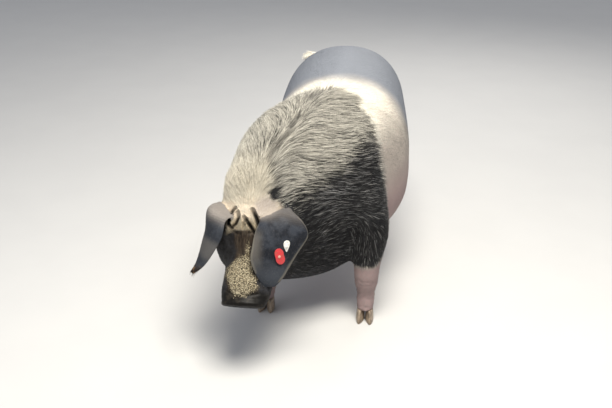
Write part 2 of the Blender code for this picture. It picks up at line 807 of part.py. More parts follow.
def spine_x(y):
    """Where the middle of the back runs, from the ground point under the withers."""
    back = neck_sections()[::-1] + trunk_sections()[::-1]
    return flow([s.back.y - WITHERS_Y for s in back], [s.back.x - WITHERS_X for s in back], np.array(y))


def make_bristles(flesh):
    """Locks down the crest of the neck and shoulders. They lap like shingles and fall away from its middle."""
    chance = random.Random(11)
    locks = []
    rows = int((BRISTLES_END - BRISTLES_START) / LOCK_STEP)
    for row in range(rows, -1, -1):
        y = BRISTLES_START + row * LOCK_STEP
        middle = float(spine_x(y))
        for column in range(-3, 4):
            x = middle + (column + 0.5 * (row % 2)) * LOCK_SPREAD + chance.uniform(-0.004, 0.004)
            start = spot(x, y + chance.uniform(-0.006, 0.006), 1.5)
            found, root, normal, index = flesh.ray_cast(start, Vector((0, 0, -1)))
            if not found or normal.z < 0.35:
                continue
            fall = max(-1.0, min(1.0, (x - middle) / 0.10))
            lie = Vector((0.60 * fall + chance.uniform(-0.08, 0.08), 1.0, 0.0))
            lie = (lie - normal * lie.dot(normal)).normalized()
            length = LOCK_LENGTH * chance.uniform(0.88, 1.10)
            path, outwards = [], []
            for share, rise in zip(LOCK_SHARES, (-0.75, 0.22, 0.70, 1.0)):
                found, place, skin_normal, index = flesh.closest_point_on_mesh(root + lie * (length * share))
                path.append(place + skin_normal * (LOCK_LIFT * rise))
                outwards.append(skin_normal)
            locks.append(lock(path, outwards, LOCK_WIDTH * chance.uniform(0.9, 1.1)))
    return locks


# Tail


def make_tail():
    """It leaves the rump backwards, hangs a little and sweeps to her right, with its tip turned up."""
    root = spot(0.116, TRUNK_LENGTH * 0.962, WITHERS_HEIGHT * 0.925)
    count = 18
    points, radii = [root], []
    for k in range(1, count):
        share = k / (count - 1)
        swing = math.radians(100 * min(1.0, share * 2.2))
        bend = Vector((-math.sin(swing), math.cos(swing), -0.60 + 1.13 * share)).normalized()
        points.append(points[-1] + bend * (TAIL_LENGTH / (count - 1)))
    for k in range(count):
        radii.append(0.017 * (1 - k / (count - 1)) ** 0.7 + 0.0055)
    tail = tube("tail", points, radii)
    switch = (points[-1] - points[-3]).normalized()
    chance = random.Random(5)
    tuft = []
    for k in range(7):
        turn = math.tau * k / 7
        away = (Vector((0.2, math.cos(turn), math.sin(turn)))).normalized()
        heading = (switch + away * chance.uniform(0.12, 0.34) - Vector((0, 0, 0.35))).normalized()
        root = points[-3] - switch * 0.006
        length = chance.uniform(0.060, 0.080)
        path = [root + heading * (length * t) + away * (0.004 * t) for t in LOCK_SHARES]
        tuft.append(lock(path, [away] * 4, 0.011))
    fuse(tail, tuft)
    return tail


# Ear tags


def ear_spot(share, side, lift, turn):
    """A place on the outer face of the left ear, with the way out and the way that a tag hangs."""
    at = ear_sheet(LEFT_EAR, side, share, lift)
    along = (ear_sheet(LEFT_EAR, side, share + 0.03, lift) - at).normalized()
    across = (ear_sheet(LEFT_EAR, side + 0.03, share, lift) - at).normalized()
    outwards = across.cross(along).normalized()
    if outwards.z < 0:
        outwards = -outwards
    hang = Vector((math.sin(turn), 0, -math.cos(turn)))
    return at, outwards, (hang - outwards * hang.dot(outwards)).normalized()


def make_tag(name, share, side, turn, corners, thickness):
    """A small plate on the ear, with a pin that goes through the gristle."""
    at, outwards, along = ear_spot(share, side, 0.0052, turn)
    across = outwards.cross(along)
    rings = []
    for lift in (0.0, thickness):
        rings.append([at + along * a + across * c + outwards * (lift + 0.0012) for a, c in corners])
    plate = loft(name, rings)
    pin = tube(name + "_pin", [at - outwards * 0.016, at + outwards * 0.0020], [0.0021, 0.0021])
    stud = tube(name + "_stud", [at - outwards * 0.0170, at - outwards * 0.0140], [0.0052, 0.0052])
    fuse(plate, [pin, stud])
    return plate


def red_corners():
    """A two-lobed button."""
    points = []
    for k in range(20):
        angle = math.tau * k / 20
        radius = 0.0225 + 0.0068 * math.cos(2 * angle)
        points.append((radius * math.cos(angle), radius * math.sin(angle)))
    return points


def white_corners():
    """A rounded wedge with its point towards the tip of the ear."""
    points = []
    for k in range(20):
        angle = math.tau * k / 20
        along = 0.0215 * math.cos(angle)
        narrow = 0.62 - 0.38 * math.cos(angle)
        points.append((along, 0.0170 * math.sin(angle) * narrow))
    return points


def make_teats(torso):
    """Two rows of small teats under the belly."""
    teats = []
    for pair in range(TEAT_PAIRS):
        y = 0.21 + 0.100 * pair
        for side in (-1, 1):
            x = 0.126 + side * (0.070 + 0.004 * pair)
            found, skin, normal, index = torso.ray_cast(spot(x, y, -0.5), Vector((0, 0, 1)))
            rings = []
            for drop, radius in ((-0.010, 0.0150), (0.002, 0.0110), (0.014, 0.0092), (0.021, 0.0050)):
                centre = skin + normal * drop
                ring = []
                for k in range(TEAT_SIDES):
                    angle = math.tau * k / TEAT_SIDES
                    ring.append(centre + Vector((radius * math.cos(angle), radius * math.sin(angle), 0)))
                rings.append(ring)
            teats.append(loft("teat", rings))
    return teats


def build():
    legs_there = [(name, *FEET[name]) for name in FEET]
    flesh = make_trunk()
    jaw = loft("jaw", [outline(s, 24) for s in refine(jaw_sections(), 2)], rounded=("end",))
    fuse(flesh, [jaw, *[make_leg(*leg) for leg in legs_there]])
    soften(flesh, 0.007, 36, FLESH_FACES)
    fuse(flesh, make_bristles(flesh))

    bags = [leg_bag(*leg) for leg in legs_there]
    legs = []
    for (name, *rest), bag in zip(legs_there, bags):
        leg = common(flesh, bag)
        leg.name = "leg_" + name
        keep_largest(leg)
        legs.append(leg)
    for bag in bags:
        carve(flesh, bag)
        remove(bag)

    shoulder, poll = neck_sections()[0], head_sections()[0]
    behind_poll = half_space("behind_poll", poll, forwards=False)
    before_poll = half_space("before_poll", poll, forwards=True)
    behind_shoulder = half_space("behind_shoulder", shoulder, forwards=False)
    before_shoulder = half_space("before_shoulder", shoulder, forwards=True)
    head = common(flesh, before_poll)
    rest = common(flesh, behind_poll)
    neck = common(rest, before_shoulder)
    torso = common(rest, behind_shoulder)
    head.name, neck.name, torso.name = "head", "neck", "torso"
    for piece in (flesh, rest, behind_poll, before_poll, behind_shoulder, before_shoulder):
        remove(piece)
    for piece in (head, neck, torso):
        keep_largest(piece)

    fuse(torso, make_teats(torso))
    places = [eye_place(head, 1), eye_place(head, -1)]
    edges = [lip_edge(head, 1), lip_edge(head, -1)]
    fuse(head, [*make_lids(places[0], 1), *make_lids(places[1], -1), *make_lips(edges)])
    groove = mouth_groove(edges)
    carve(head, groove, by=0.0)
    remove(groove)
    eyes = []
    for label, place in zip(("left", "right"), places):
        eye = ball("eye_" + label, place, EYE_RADIUS)
        carve(head, eye)
        eyes.append(eye)

    for (name, x, y, outwards, levels), leg in zip(legs_there, legs):
        for where, shift in (("outer", 1), ("inner", -1)):
            middle = x + outwards * shift * CLAW_SPREAD
            claw = make_claw(f"claw_{name}_{where}", middle, y - 0.026, outwards * shift, math.radians(5))
            carve(leg, claw)
            finish(claw, CLAW_HORN, 0.45)
            dew = make_dewclaw(f"dewclaw_{name}_{where}", x + outwards * shift * 0.022, y + 0.030, outwards * shift)
            carve(dew, leg)
            finish(dew, CLAW_HORN, 0.45)

    snout = make_snout()
    carve(snout, head)
    ears = [make_ear("ear_left", LEFT_EAR), make_ear("ear_right", RIGHT_EAR)]
    for ear in ears:
        carve(ear, head)
        carve(ear, neck, by=3 * GAP)
    tail = make_tail()
    carve(tail, torso)
    tags = [
        make_tag("tag_red", 0.667, 0.582, math.radians(10), red_corners(), 0.0030),
        make_tag("tag_white", 0.530, 0.622, math.radians(-4), white_corners(), 0.0022),
    ]
    for tag in tags:
        carve(ears[0], tag)

    finish(torso, PALE_SKIN)
    finish(neck, BLACK_SKIN)
    finish(head, BLACK_SKIN)
    finish(snout, MUDDY_SNOUT, 0.55)
    finish(tail, PALE_SKIN)
    for leg in legs:
        finish(leg, PALE_SKIN)
    for ear in ears:
        finish(ear, SLATE_EAR)
    for eye in eyes:
        finish(eye, EYE_BROWN, 0.1)
    finish(tags[0], TAG_RED, 0.4)
    finish(tags[1], TAG_WHITE, 0.4)


build()
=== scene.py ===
import math
from contextlib import contextmanager

import bmesh
import bpy
import numpy as np
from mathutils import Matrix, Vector
from mathutils.bvhtree import BVHTree


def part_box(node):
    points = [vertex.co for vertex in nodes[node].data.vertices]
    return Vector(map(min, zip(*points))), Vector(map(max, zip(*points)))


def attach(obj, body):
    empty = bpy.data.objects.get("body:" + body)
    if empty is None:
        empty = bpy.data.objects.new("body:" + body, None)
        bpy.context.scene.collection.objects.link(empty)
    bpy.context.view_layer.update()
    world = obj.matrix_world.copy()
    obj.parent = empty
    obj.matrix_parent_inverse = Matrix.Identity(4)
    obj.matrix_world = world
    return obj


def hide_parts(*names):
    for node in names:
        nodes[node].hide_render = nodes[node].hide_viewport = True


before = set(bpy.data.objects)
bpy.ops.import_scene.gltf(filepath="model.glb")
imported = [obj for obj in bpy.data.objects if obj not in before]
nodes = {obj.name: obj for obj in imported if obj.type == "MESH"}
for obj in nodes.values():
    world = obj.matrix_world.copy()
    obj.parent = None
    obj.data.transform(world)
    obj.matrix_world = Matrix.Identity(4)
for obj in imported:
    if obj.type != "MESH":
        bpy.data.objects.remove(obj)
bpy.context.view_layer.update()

# metres throughout; the sow faces -Y, her left is +X, the floor is z = 0
cameraSet = {
    "place": (0.3802, -3.4822, 1.949),
    "look": (-0.1108, 0.9019, -0.4177),
    "lens": 53.2353,
}


def linkObject(name, data):
    thing = bpy.data.objects.new(name, data)
    bpy.context.scene.collection.objects.link(thing)
    return thing


def aim(thing, place, way, axis="-Z"):
    # puts a thing at a place, with one of its axes along a way
    thing.location = Vector(place)
    thing.rotation_euler = Vector(way).to_track_quat(axis, "Y").to_euler()


def makeCamera():
    data = bpy.data.cameras.new("camera")
    data.lens = cameraSet["lens"]
    data.sensor_width = 36.0
    data.clip_start = 0.05
    camera = linkObject("camera", data)
    aim(camera, cameraSet["place"], cameraSet["look"])
    bpy.context.scene.camera = camera


makeCamera()
bpy.context.scene.view_settings.view_transform = "Standard"
print("camera ready")

# small helpers on arrays and meshes


def smoothStep(value, low, high):
    t = np.clip((value - low) / (high - low), 0.0, 1.0)
    return t * t * (3 - 2 * t)


def unit(vectors):
    return vectors / np.maximum(np.linalg.norm(vectors, axis=-1, keepdims=True), 1e-9)


def getPlaces(mesh):
    flat = np.empty(len(mesh.vertices) * 3)
    mesh.vertices.foreach_get("co", flat)
    return flat.reshape(-1, 3)


def setPlaces(mesh, places):
    mesh.vertices.foreach_set("co", places.ravel())
    mesh.update()


def getNormals(mesh):
    flat = np.empty(len(mesh.vertices) * 3)
    mesh.vertices.foreach_get("normal", flat)
    return flat.reshape(-1, 3)


def getPairs(mesh):
    flat = np.empty(len(mesh.edges) * 2, int)
    mesh.edges.foreach_get("vertices", flat)
    return flat.reshape(-1, 2)


def relax(places, pairs, weight, rounds):
    # pulls each point towards the middle of its neighbours
    count = len(places)
    a, b = pairs[:, 0], pairs[:, 1]
    links = np.bincount(pairs.ravel(), minlength=count)
    for step in range(rounds):
        for k in range(places.shape[1]):
            total = np.bincount(a, places[b, k], count) + np.bincount(b, places[a, k], count)
            places[:, k] += (total / links - places[:, k]) * weight


def wave(places, scale, seed):
    # a smooth pattern from -1 to 1 with bumps about 1/scale wide
    chance = np.random.default_rng(seed)
    total = np.zeros(len(places))
    for k in range(6):
        direction = unit(chance.normal(size=3))
        total += np.sin(places @ direction * scale * chance.uniform(3.5, 8.0) + chance.uniform(0, 6.3))
    return total / 3.2


def bell(gap, width):
    # 1 on a line, falling away on both sides of it
    return np.exp(-(gap / width) ** 2)


def tapered(share, blunt, power):
    # 1 in the middle of a line, lower towards its ends
    return np.sin(np.pi * (blunt + (1 - 2 * blunt) * share)) ** power


def crease(gap, width, bank, bankPlace):
    # the depth of a groove, with the skin that swells beside it
    return bell(gap, width) - bank * bell(gap - bankPlace * width, width)


def modified(thing, kind, **settings):
    # gives a thing a modifier and keeps what it makes of the mesh
    change = thing.modifiers.new(kind.lower(), kind)
    for key, value in settings.items():
        setattr(change, key, value)
    bpy.context.view_layer.update()
    graph = bpy.context.evaluated_depsgraph_get()
    mesh = bpy.data.meshes.new_from_object(thing.evaluated_get(graph))
    thing.modifiers.clear()
    old = thing.data
    thing.data = mesh
    bpy.data.meshes.remove(old)
    return thing


@contextmanager
def editing(mesh, source=None):
    # opens a mesh for work on its points and faces, and writes them back
    bm = bmesh.new()
    if source is not None:
        bm.from_mesh(source)
    yield bm
    bm.to_mesh(mesh)
    bm.free()


def weld(bm):
    bmesh.ops.remove_doubles(bm, verts=bm.verts, dist=1e-5)


def dress(thing, material, sharpAngle):
    # smooth shading that keeps sharp edges, and one material
    mesh = thing.data
    mesh.shade_smooth()
    mesh.set_sharp_from_angle(angle=math.radians(sharpAngle))
    mesh.materials.clear()
    mesh.materials.append(material)


def writeMark(mesh, name, values):
    layer = mesh.attributes.new(name, "FLOAT", "POINT")
    layer.data.foreach_set("value", np.ascontiguousarray(values, np.float32))


def alongPath(places, path):
    # the nearest spot of a line of points, the way onwards there, its distance,
    # and how far along the line it is, from 0 to 1
    path = np.array(path, float)
    nearest, onwards = np.zeros_like(places), np.zeros_like(places)
    gap = np.full(len(places), np.inf)
    share = np.zeros(len(places))
    spans = len(path) - 1
    for k in range(spans):
        start, step = path[k], path[k + 1] - path[k]
        t = np.clip((places - start) @ step / (step @ step), 0, 1)
        spot = start + t[:, None] * step
        here = np.linalg.norm(places - spot, axis=1)
        near = here < gap
        nearest[near] = spot[near]
        onwards[near] = step / np.linalg.norm(step)
        gap[near] = here[near]
        share[near] = (k + t[near]) / spans
    return nearest, onwards, gap, share


def pathDistance(places, path):
    return alongPath(places, path)[2:]


# where things are on her

headFrame = {"poll": (-0.168, -0.5645, 0.640), "pitch": 55.0}
pollPoint = np.array(headFrame["poll"])
pitch = math.radians(headFrame["pitch"])
headAlong = np.array((0.0, -math.cos(pitch), -math.sin(pitch)))
headRise = np.array((0.0, -math.sin(pitch), math.cos(pitch)))

# the middle line of the face, neck and back, from the snout to the tail
spineLine = np.array([
    (-0.163, -0.800, 0.315), (-0.170, -0.746, 0.374), (-0.178, -0.663, 0.489), (-0.180, -0.610, 0.590),
    (-0.157, -0.551, 0.679), (-0.112, -0.483, 0.758), (-0.076, -0.426, 0.796), (-0.046, -0.349, 0.836),
    (-0.028, -0.227, 0.850), (0.010, -0.097, 0.853), (0.062, 0.050, 0.855), (0.086, 0.250, 0.870),
    (0.080, 0.500, 0.878), (0.074, 0.660, 0.845), (0.072, 0.760, 0.740), (0.074, 0.775, 0.600),
])


def onHead(places):
    local = places - pollPoint
    return local @ headAlong, local[:, 0], local @ headRise


def alongSpine(places):
    # the nearest spot of the middle line, the way backwards there, and its distance
    return alongPath(places, spineLine)[:3]


earNodes = ["ear_left", "ear_right"]
legNodes = ["leg_front_left", "leg_front_right", "leg_hind_left", "leg_hind_right"]
fleshNodes = ["torso", "neck", "head", "snout", "tail"] + earNodes + legNodes


def solidsTree(names):
    # a search tree of some solids' faces, and which solid each face is of
    places, faces, owners = [], [], []
    for name in names:
        mesh = nodes[name].data
        base = len(places)
        places.extend(v.co for v in mesh.vertices)
        faces.extend([base + k for k in polygon.vertices] for polygon in mesh.polygons)
        owners.extend([fleshNodes.index(name)] * len(mesh.polygons))
    return BVHTree.FromPolygons(places, faces), np.array(owners)


ownerTree, ownerOfFace = solidsTree(fleshNodes)


def ownersOf(places):
    # the number in fleshNodes of the solid that is nearest to each place
    found = [ownerTree.find_nearest(place)[2] for place in places.tolist()]
    return ownerOfFace[np.array(found)]


def isOn(owner, *names):
    return np.isin(owner, [fleshNodes.index(name) for name in names])


def isEar(owner):
    return isOn(owner, *earNodes)


# the skin

skinSet = {
    "voxel": 0.0048,
    "seal": 0.0005,
    "bodyRounds": 34,
    "crestRounds": 60,
    "bristleDepth": 0.0085,
    "furDepth": 0.0035,
    "foldBank": (0.35, 2.3),
    "ringDepth": 0.0018,
    "ringWidth": 0.0042,
}


def joinFlesh():
    mesh = bpy.data.meshes.new("skin")
    with editing(mesh) as bm:
        for name in [name for name in fleshNodes if name not in earNodes] + ["eye_left", "eye_right"]:
            bm.from_mesh(nodes[name].data)
        weld(bm)
        bm.normal_update()
        for vert in bm.verts:
            vert.co += vert.normal * skinSet["seal"]
    return modified(linkObject("skin", mesh), "REMESH", mode="VOXEL", voxel_size=skinSet["voxel"])


def largestPart(mesh):
    # drops the bubbles that are left where two solids met
    with editing(mesh, mesh) as bm:
        seen = set()
        groups = []
        for vert in bm.verts:
            if vert in seen:
                continue
            seen.add(vert)
            group = [vert]
            for here in group:
                for edge in here.link_edges:
                    other = edge.other_vert(here)
                    if other not in seen:
                        seen.add(other)
                        group.append(other)
            groups.append(group)
        groups.sort(key=len)
        for group in groups[:-1]:
            bmesh.ops.delete(bm, geom=group, context="VERTS")


def refineWhere(mesh, chosen):
    # splits the faces between chosen points
    flags = set(np.flatnonzero(chosen).tolist())
    with editing(mesh, mesh) as bm:
        edges = [e for e in bm.edges if e.verts[0].index in flags and e.verts[1].index in flags]
        bmesh.ops.subdivide_edges(bm, edges=edges, cuts=1, use_grid_fill=True)


skin = joinFlesh()
largestPart(skin.data)
print("skin remeshed,", len(skin.data.vertices), "points")

# the ears

earSet = {
    "swell": 0.0007,
    "rootDepth": 0.011,
    "mend": 0.0021,
    "degenerate": 0.0003,
    "rounds": 6,
    "divide": -0.16,
}
# where each ear starts and ends, the way into the head, and the way its hair lies
earShape = {
    "left": {
        "root": (-0.075, -0.592, 0.570), "tip": (-0.085, -0.738, 0.350),
        "inwards": (-0.10, 0.80, -0.45), "hair": (0.02, -0.147, -0.218),
    },
    "right": {
        "root": (-0.285, -0.606, 0.580), "tip": (-0.378, -0.686, 0.358),
        "inwards": (0.45, 0.75, -0.35), "hair": (-0.093, -0.080, -0.220),
    },
}


def earWay(side, name):
    return np.array(earShape[side][name])


def earShare(places, side):
    # 0 at the root of an ear, 1 at its tip
    root = earWay(side, "root")
    step = earWay(side, "tip") - root
    return np.clip((places - root) @ step / (step @ step), 0, 1)


def roundedEar(side):
    # a smooth copy of an ear's solid, whose root runs on into the head
    mesh = bpy.data.meshes.new("ear")
    with editing(mesh, nodes["ear_" + side].data) as bm:
        weld(bm)
        bmesh.ops.join_triangles(bm, faces=bm.faces, angle_face_threshold=0.7, angle_shape_threshold=1.2)
    ear = modified(linkObject("ear", mesh), "SUBSURF", levels=2, render_levels=2)
    places = getPlaces(ear.data)
    share = earShare(places, side)
    relax(places, getPairs(ear.data), 0.5 * smoothStep(share, 0.35, 0.12), earSet["rounds"])
    places += getNormals(ear.data) * earSet["swell"]
    depth = earSet["rootDepth"] * smoothStep(share, 0.14, 0.0)
    places += unit(earWay(side, "inwards")) * depth[:, None]
    setPlaces(ear.data, places)
    return ear


def addEars():
    for side in ("left", "right"):
        ear = roundedEar(side)
        modified(skin, "BOOLEAN", operation="UNION", solver="MANIFOLD", object=ear)
        bpy.data.objects.remove(ear)


addEars()
largestPart(skin.data)


def awayFromEars(owner, pairs, rounds):
    # 0 on the ears and 1 off them, softened
    away = np.where(isEar(owner), 0.0, 1.0)[:, None]
    relax(away, pairs, 0.5, rounds)
    return away[:, 0]


def nearEars(owner, pairs, rounds):
    # 0 on the ears, rising to 1 a little way from them
    return smoothStep(awayFromEars(owner, pairs, rounds), 0.5, 1.0)


def atEarRoots(places):
    left = smoothStep(earShare(places, "left"), 0.42, 0.22) * (places[:, 0] > earSet["divide"])
    right = smoothStep(earShare(places, "right"), 0.50, 0.30) * (places[:, 0] < earSet["divide"])
    return np.maximum(left, right)


def mendSeam():
    # the union leaves slivers along the ears' roots
    mesh = skin.data
    away = awayFromEars(ownersOf(getPlaces(mesh)), getPairs(mesh), 4)
    with editing(mesh, mesh) as bm:
        bm.verts.ensure_lookup_table()
        seam = [bm.verts[k] for k in np.flatnonzero((away > 0.01) & (away < 0.99))]
        bmesh.ops.remove_doubles(bm, verts=seam, dist=earSet["mend"])
        bmesh.ops.dissolve_degenerate(bm, edges=bm.edges, dist=earSet["degenerate"])
        bmesh.ops.triangulate(bm, faces=[face for face in bm.faces if len(face.verts) > 4])


mendSeam()
print("ears joined,", len(skin.data.vertices), "points")


def softenSkin():
    mesh = skin.data
    places = getPlaces(mesh)
    pairs = getPairs(mesh)
    along = onHead(places)[0]
    owner = ownersOf(places)
    body = smoothStep(along, 0.12, -0.06)
    foot = smoothStep(places[:, 2], 0.20, 0.08)
    weight = np.where(isOn(owner, "tail"), 0.05, 0.12 + 0.38 * body * (1 - foot))
    teats = (places[:, 2] < 0.262) & isOn(owner, "torso")
    weight[teats] = 0.06
    weight *= nearEars(owner, pairs, 10)
    relax(places, pairs, weight, skinSet["bodyRounds"])
    gap = alongSpine(places)[2]
    crest = smoothStep(gap, 0.26, 0.20) * smoothStep(places[:, 1], 0.12, 0.04) * ~isEar(owner)
    crest *= smoothStep(along, 0.10, 0.03)
    relax(places, pairs, 0.5 * crest, skinSet["crestRounds"])
    setPlaces(mesh, places)


softenSkin()

# the head is sculpted finer than the body


def isFace(places):
    return (onHead(places)[0] > -0.03) & (places[:, 1] < -0.535)


def isBrow(places):
    along, across, rise = onHead(places)
    return (along > 0.055) & (along < 0.160) & (across > -0.100) & (across < 0.050) & (rise > -0.035)


def refineHead():
    mesh = skin.data
    for chosen in (isFace, isBrow):
        places = getPlaces(mesh)
        refineWhere(mesh, chosen(places) & ~isEar(ownersOf(places)))
    places = getPlaces(mesh)
    pairs = getPairs(mesh)
    owner = ownersOf(places)
    weight = np.where(onHead(places)[0] > -0.05, 0.35, 0.0) * (places[:, 1] < -0.50)
    relax(places, pairs, weight * nearEars(owner, pairs, 4), 6)
    # the roots of the ears run softly into the head
    away = awayFromEars(owner, pairs, 10)
    seam = np.clip(6 * away * (1 - away), 0, 1) * atEarRoots(places)
    relax(places, pairs, 0.5 * seam, 50)
    setPlaces(mesh, places)
    return owner


headOwner = refineHead()
print("head refined,", len(skin.data.vertices), "points")

faceSet = {
    "furrowDepth": 0.0150,
    "furrowWidth": 0.0043,
    "furrowBank": (0.16, 2.6),
    "eyeRadius": 0.0125,
    "lidThickness": 0.0022,
    "eyeOpening": (0.0125, 0.0062),
    "eyeHollow": 0.0035,
    "lidRim": (0.0016, 0.0032, 0.0022),
    "lidFold": (0.0016, 0.0085, 0.0022),
}

# each line is (along, across) on the face, from the poll, with shares of the depth and width
faceFurrows = [
    ([(0.066, -0.066), (0.082, -0.075), (0.100, -0.081), (0.123, -0.083), (0.137, -0.072)], 1.0, 1.0),
    ([(0.078, -0.053), (0.100, -0.045), (0.122, -0.053), (0.138, -0.067)], 0.85, 0.85),
    ([(0.069, 0.002), (0.084, 0.010), (0.098, 0.018), (0.122, 0.028), (0.142, 0.030)], 1.0, 1.0),
    ([(0.097, -0.027), (0.119, -0.009), (0.136, 0.005), (0.150, 0.015)], 0.9, 0.9),
    ([(0.104, -0.016), (0.120, -0.022), (0.140, -0.024)], 0.40, 0.8),
    ([(0.146, -0.066), (0.156, -0.050), (0.158, -0.036)], 0.30, 1.2),
    ([(0.156, -0.006), (0.150, 0.010), (0.140, 0.026)], 0.30, 1.2),
    ([(0.162, -0.046), (0.190, -0.038), (0.225, -0.036)], 0.24, 1.1),
    ([(0.160, -0.010), (0.188, -0.014), (0.222, -0.010)], 0.20, 1.0),
    ([(0.166, -0.030), (0.186, -0.026), (0.204, -0.028)], 0.16, 0.8),
    ([(0.358, -0.078), (0.372, -0.050), (0.378, -0.030)], 0.22, 1.1),
    ([(0.377, -0.010), (0.374, 0.020), (0.366, 0.048)], 0.22, 1.1),
    ([(0.045, -0.050), (0.052, -0.020), (0.048, 0.012)], 0.16, 2.0),
]
# folds that swell between the furrows, and hollows beside the bridge of the nose
faceSwells = [
    ([(0.085, -0.065), (0.105, -0.064), (0.126, -0.067)], 0.0060, 0.0105),
    ([(0.098, 0.000), (0.118, 0.012), (0.136, 0.021)], 0.0065, 0.0095),
    ([(0.104, -0.034), (0.124, -0.034), (0.142, -0.030)], 0.0045, 0.0110),
    ([(0.090, 0.034), (0.115, 0.048), (0.140, 0.046)], 0.0040, 0.0120),
    ([(0.095, -0.098), (0.118, -0.102), (0.138, -0.092)], 0.0035, 0.0110),
    ([(0.165, -0.020), (0.200, -0.018), (0.235, -0.018)], 0.0050, 0.0230),
    ([(0.170, -0.078), (0.205, -0.074), (0.240, -0.074)], -0.0080, 0.0200),
    ([(0.170, 0.042), (0.205, 0.038), (0.240, 0.038)], -0.0080, 0.0200),
    ([(0.285, -0.022), (0.330, -0.022)], 0.0075, 0.0400),
    ([(0.372, -0.030), (0.374, 0.020)], 0.0030, 0.0150),
]


def sculptFace():
    mesh = skin.data
    places = getPlaces(mesh)
    pairs = getPairs(mesh)
    normals = getNormals(mesh)
    flat = np.stack(onHead(places)[:2], 1)
    front = smoothStep(normals @ headRise, 0.15, 0.55) * (places[:, 1] < -0.53)
    front *= nearEars(headOwner, pairs, 16)
    move = np.zeros(len(places))
    for line, depth, width in faceFurrows:
        gap, share = pathDistance(flat, line)
        groove = crease(gap, faceSet["furrowWidth"] * width, *faceSet["furrowBank"])
        move -= faceSet["furrowDepth"] * depth * tapered(share, 0.12, 0.6) * groove
    for line, height, width in faceSwells:
        move += height * bell(pathDistance(flat, line)[0], width)
    move += 0.0006 * wave(places, 12.0, 3) * smoothStep(flat[:, 0], 0.33, 0.2)
    places += normals * (move * front)[:, None]
    seam = (1 - nearEars(headOwner, pairs, 14)) * atEarRoots(places)
    relax(places, pairs, 0.5 * seam * (places[:, 1] < -0.55), 14)
    setPlaces(mesh, places)


sculptFace()


def eyeMiddle(side):
    low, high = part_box("eye_" + side)
    return np.array((low + high) / 2)


def eyeFrame(side):
    # outwards, fore and up for an eye
    sign = 1 if side == "left" else -1
    outwards = unit(np.array((sign * 0.83, -0.50, 0.22)))
    fore = headAlong - outwards * (headAlong @ outwards)
    fore = fore / np.linalg.norm(fore)
    return outwards, fore, np.cross(outwards, fore) * -sign


def shapeLids(places, pairs, owner, side):
    # sinks the eye's opening and raises the rim and the fold of both lids round it
    radius = faceSet["eyeRadius"]
    wide, tall = faceSet["eyeOpening"]
    outwards, fore, upwards = eyeFrame(side)

    def fromMiddle():
        local = places - eyeMiddle(side)
        reach = np.linalg.norm(local, axis=1)
        return reach, local / np.maximum(reach, 1e-6)[:, None]

    reach, heading = fromMiddle()
    facing = heading @ outwards
    near = (reach < 0.034) & (facing > 0.05) & ~isEar(owner)
    relax(places, pairs, np.where(near & (reach < 0.028), 0.5, 0.0), 12)
    reach, heading = fromMiddle()
    u = heading @ fore * radius
    v = heading @ upwards * radius
    edge = tall * np.maximum(1 - (u / wide) ** 2, 0) ** 0.75
    inside = np.where(np.abs(u) > wide, wide - np.abs(u), edge - np.abs(v + 0.0008))
    gap = np.maximum(-inside, 0)
    lid = radius + faceSet["lidThickness"]
    for sign, (height, middle, width) in ((1, faceSet["lidRim"]), (-1, faceSet["lidFold"])):
        lid = lid + sign * height * bell(gap - middle, width)
    target = np.where(inside > 0.0004, radius - faceSet["eyeHollow"], lid)
    target = target + (np.maximum(reach, target) - target) * smoothStep(gap, 0.007, 0.016)
    change = np.where(near & (facing > 0.12), 1.0, 0.0) * smoothStep(facing, 0.12, 0.35)
    places += heading * ((target - reach) * change)[:, None]


def sculptEyes():
    mesh = skin.data
    for reach in (0.030, 0.024):
        places = getPlaces(mesh)
        gaps = [np.linalg.norm(places - eyeMiddle(side), axis=1) for side in ("left", "right")]
        refineWhere(mesh, np.minimum(*gaps) < reach)
    places = getPlaces(mesh)
    pairs = getPairs(mesh)
    owner = ownersOf(places)
    for side in ("left", "right"):
        shapeLids(places, pairs, owner, side)
    setPlaces(mesh, places)


sculptEyes()
skinOwner = ownersOf(getPlaces(skin.data))
print("face and lids sculpted")

# folds of the body, each a line in space with its depth and width

bodyFolds = [
    ([(0.045, -0.476, 0.409), (0.061, -0.452, 0.355), (0.052, -0.431, 0.285)], 0.0085, 0.012),
    ([(0.062, -0.440, 0.470), (0.098, -0.430, 0.400), (0.112, -0.412, 0.330)], 0.0060, 0.013),
    ([(0.020, -0.520, 0.500), (0.030, -0.508, 0.430), (0.016, -0.490, 0.350)], 0.0050, 0.011),
    ([(-0.330, -0.470, 0.430), (-0.318, -0.440, 0.350), (-0.280, -0.420, 0.280)], 0.0070, 0.013),
    ([(0.290, -0.165, 0.360), (0.285, -0.150, 0.300), (0.262, -0.165, 0.262)], 0.0070, 0.012),
    ([(-0.262, -0.120, 0.360), (-0.252, -0.105, 0.300), (-0.228, -0.120, 0.262)], 0.0070, 0.012),
    ([(0.362, 0.400, 0.450), (0.345, 0.372, 0.370), (0.310, 0.360, 0.310)], 0.0070, 0.016),
    ([(-0.205, 0.440, 0.450), (-0.190, 0.410, 0.370), (-0.165, 0.400, 0.310)], 0.0070, 0.016),
]
# rings round the knees, hocks and pasterns: where the foot is, and the height of each ring
legRings = [
    ((0.218, -0.350), (0.185, 0.170, 0.110, 0.098, 0.066)),
    ((-0.172, -0.310), (0.185, 0.170, 0.110, 0.098, 0.066)),
    ((0.222, 0.560), (0.108, 0.096, 0.066)),
    ((-0.062, 0.620), (0.108, 0.096, 0.066)),
]


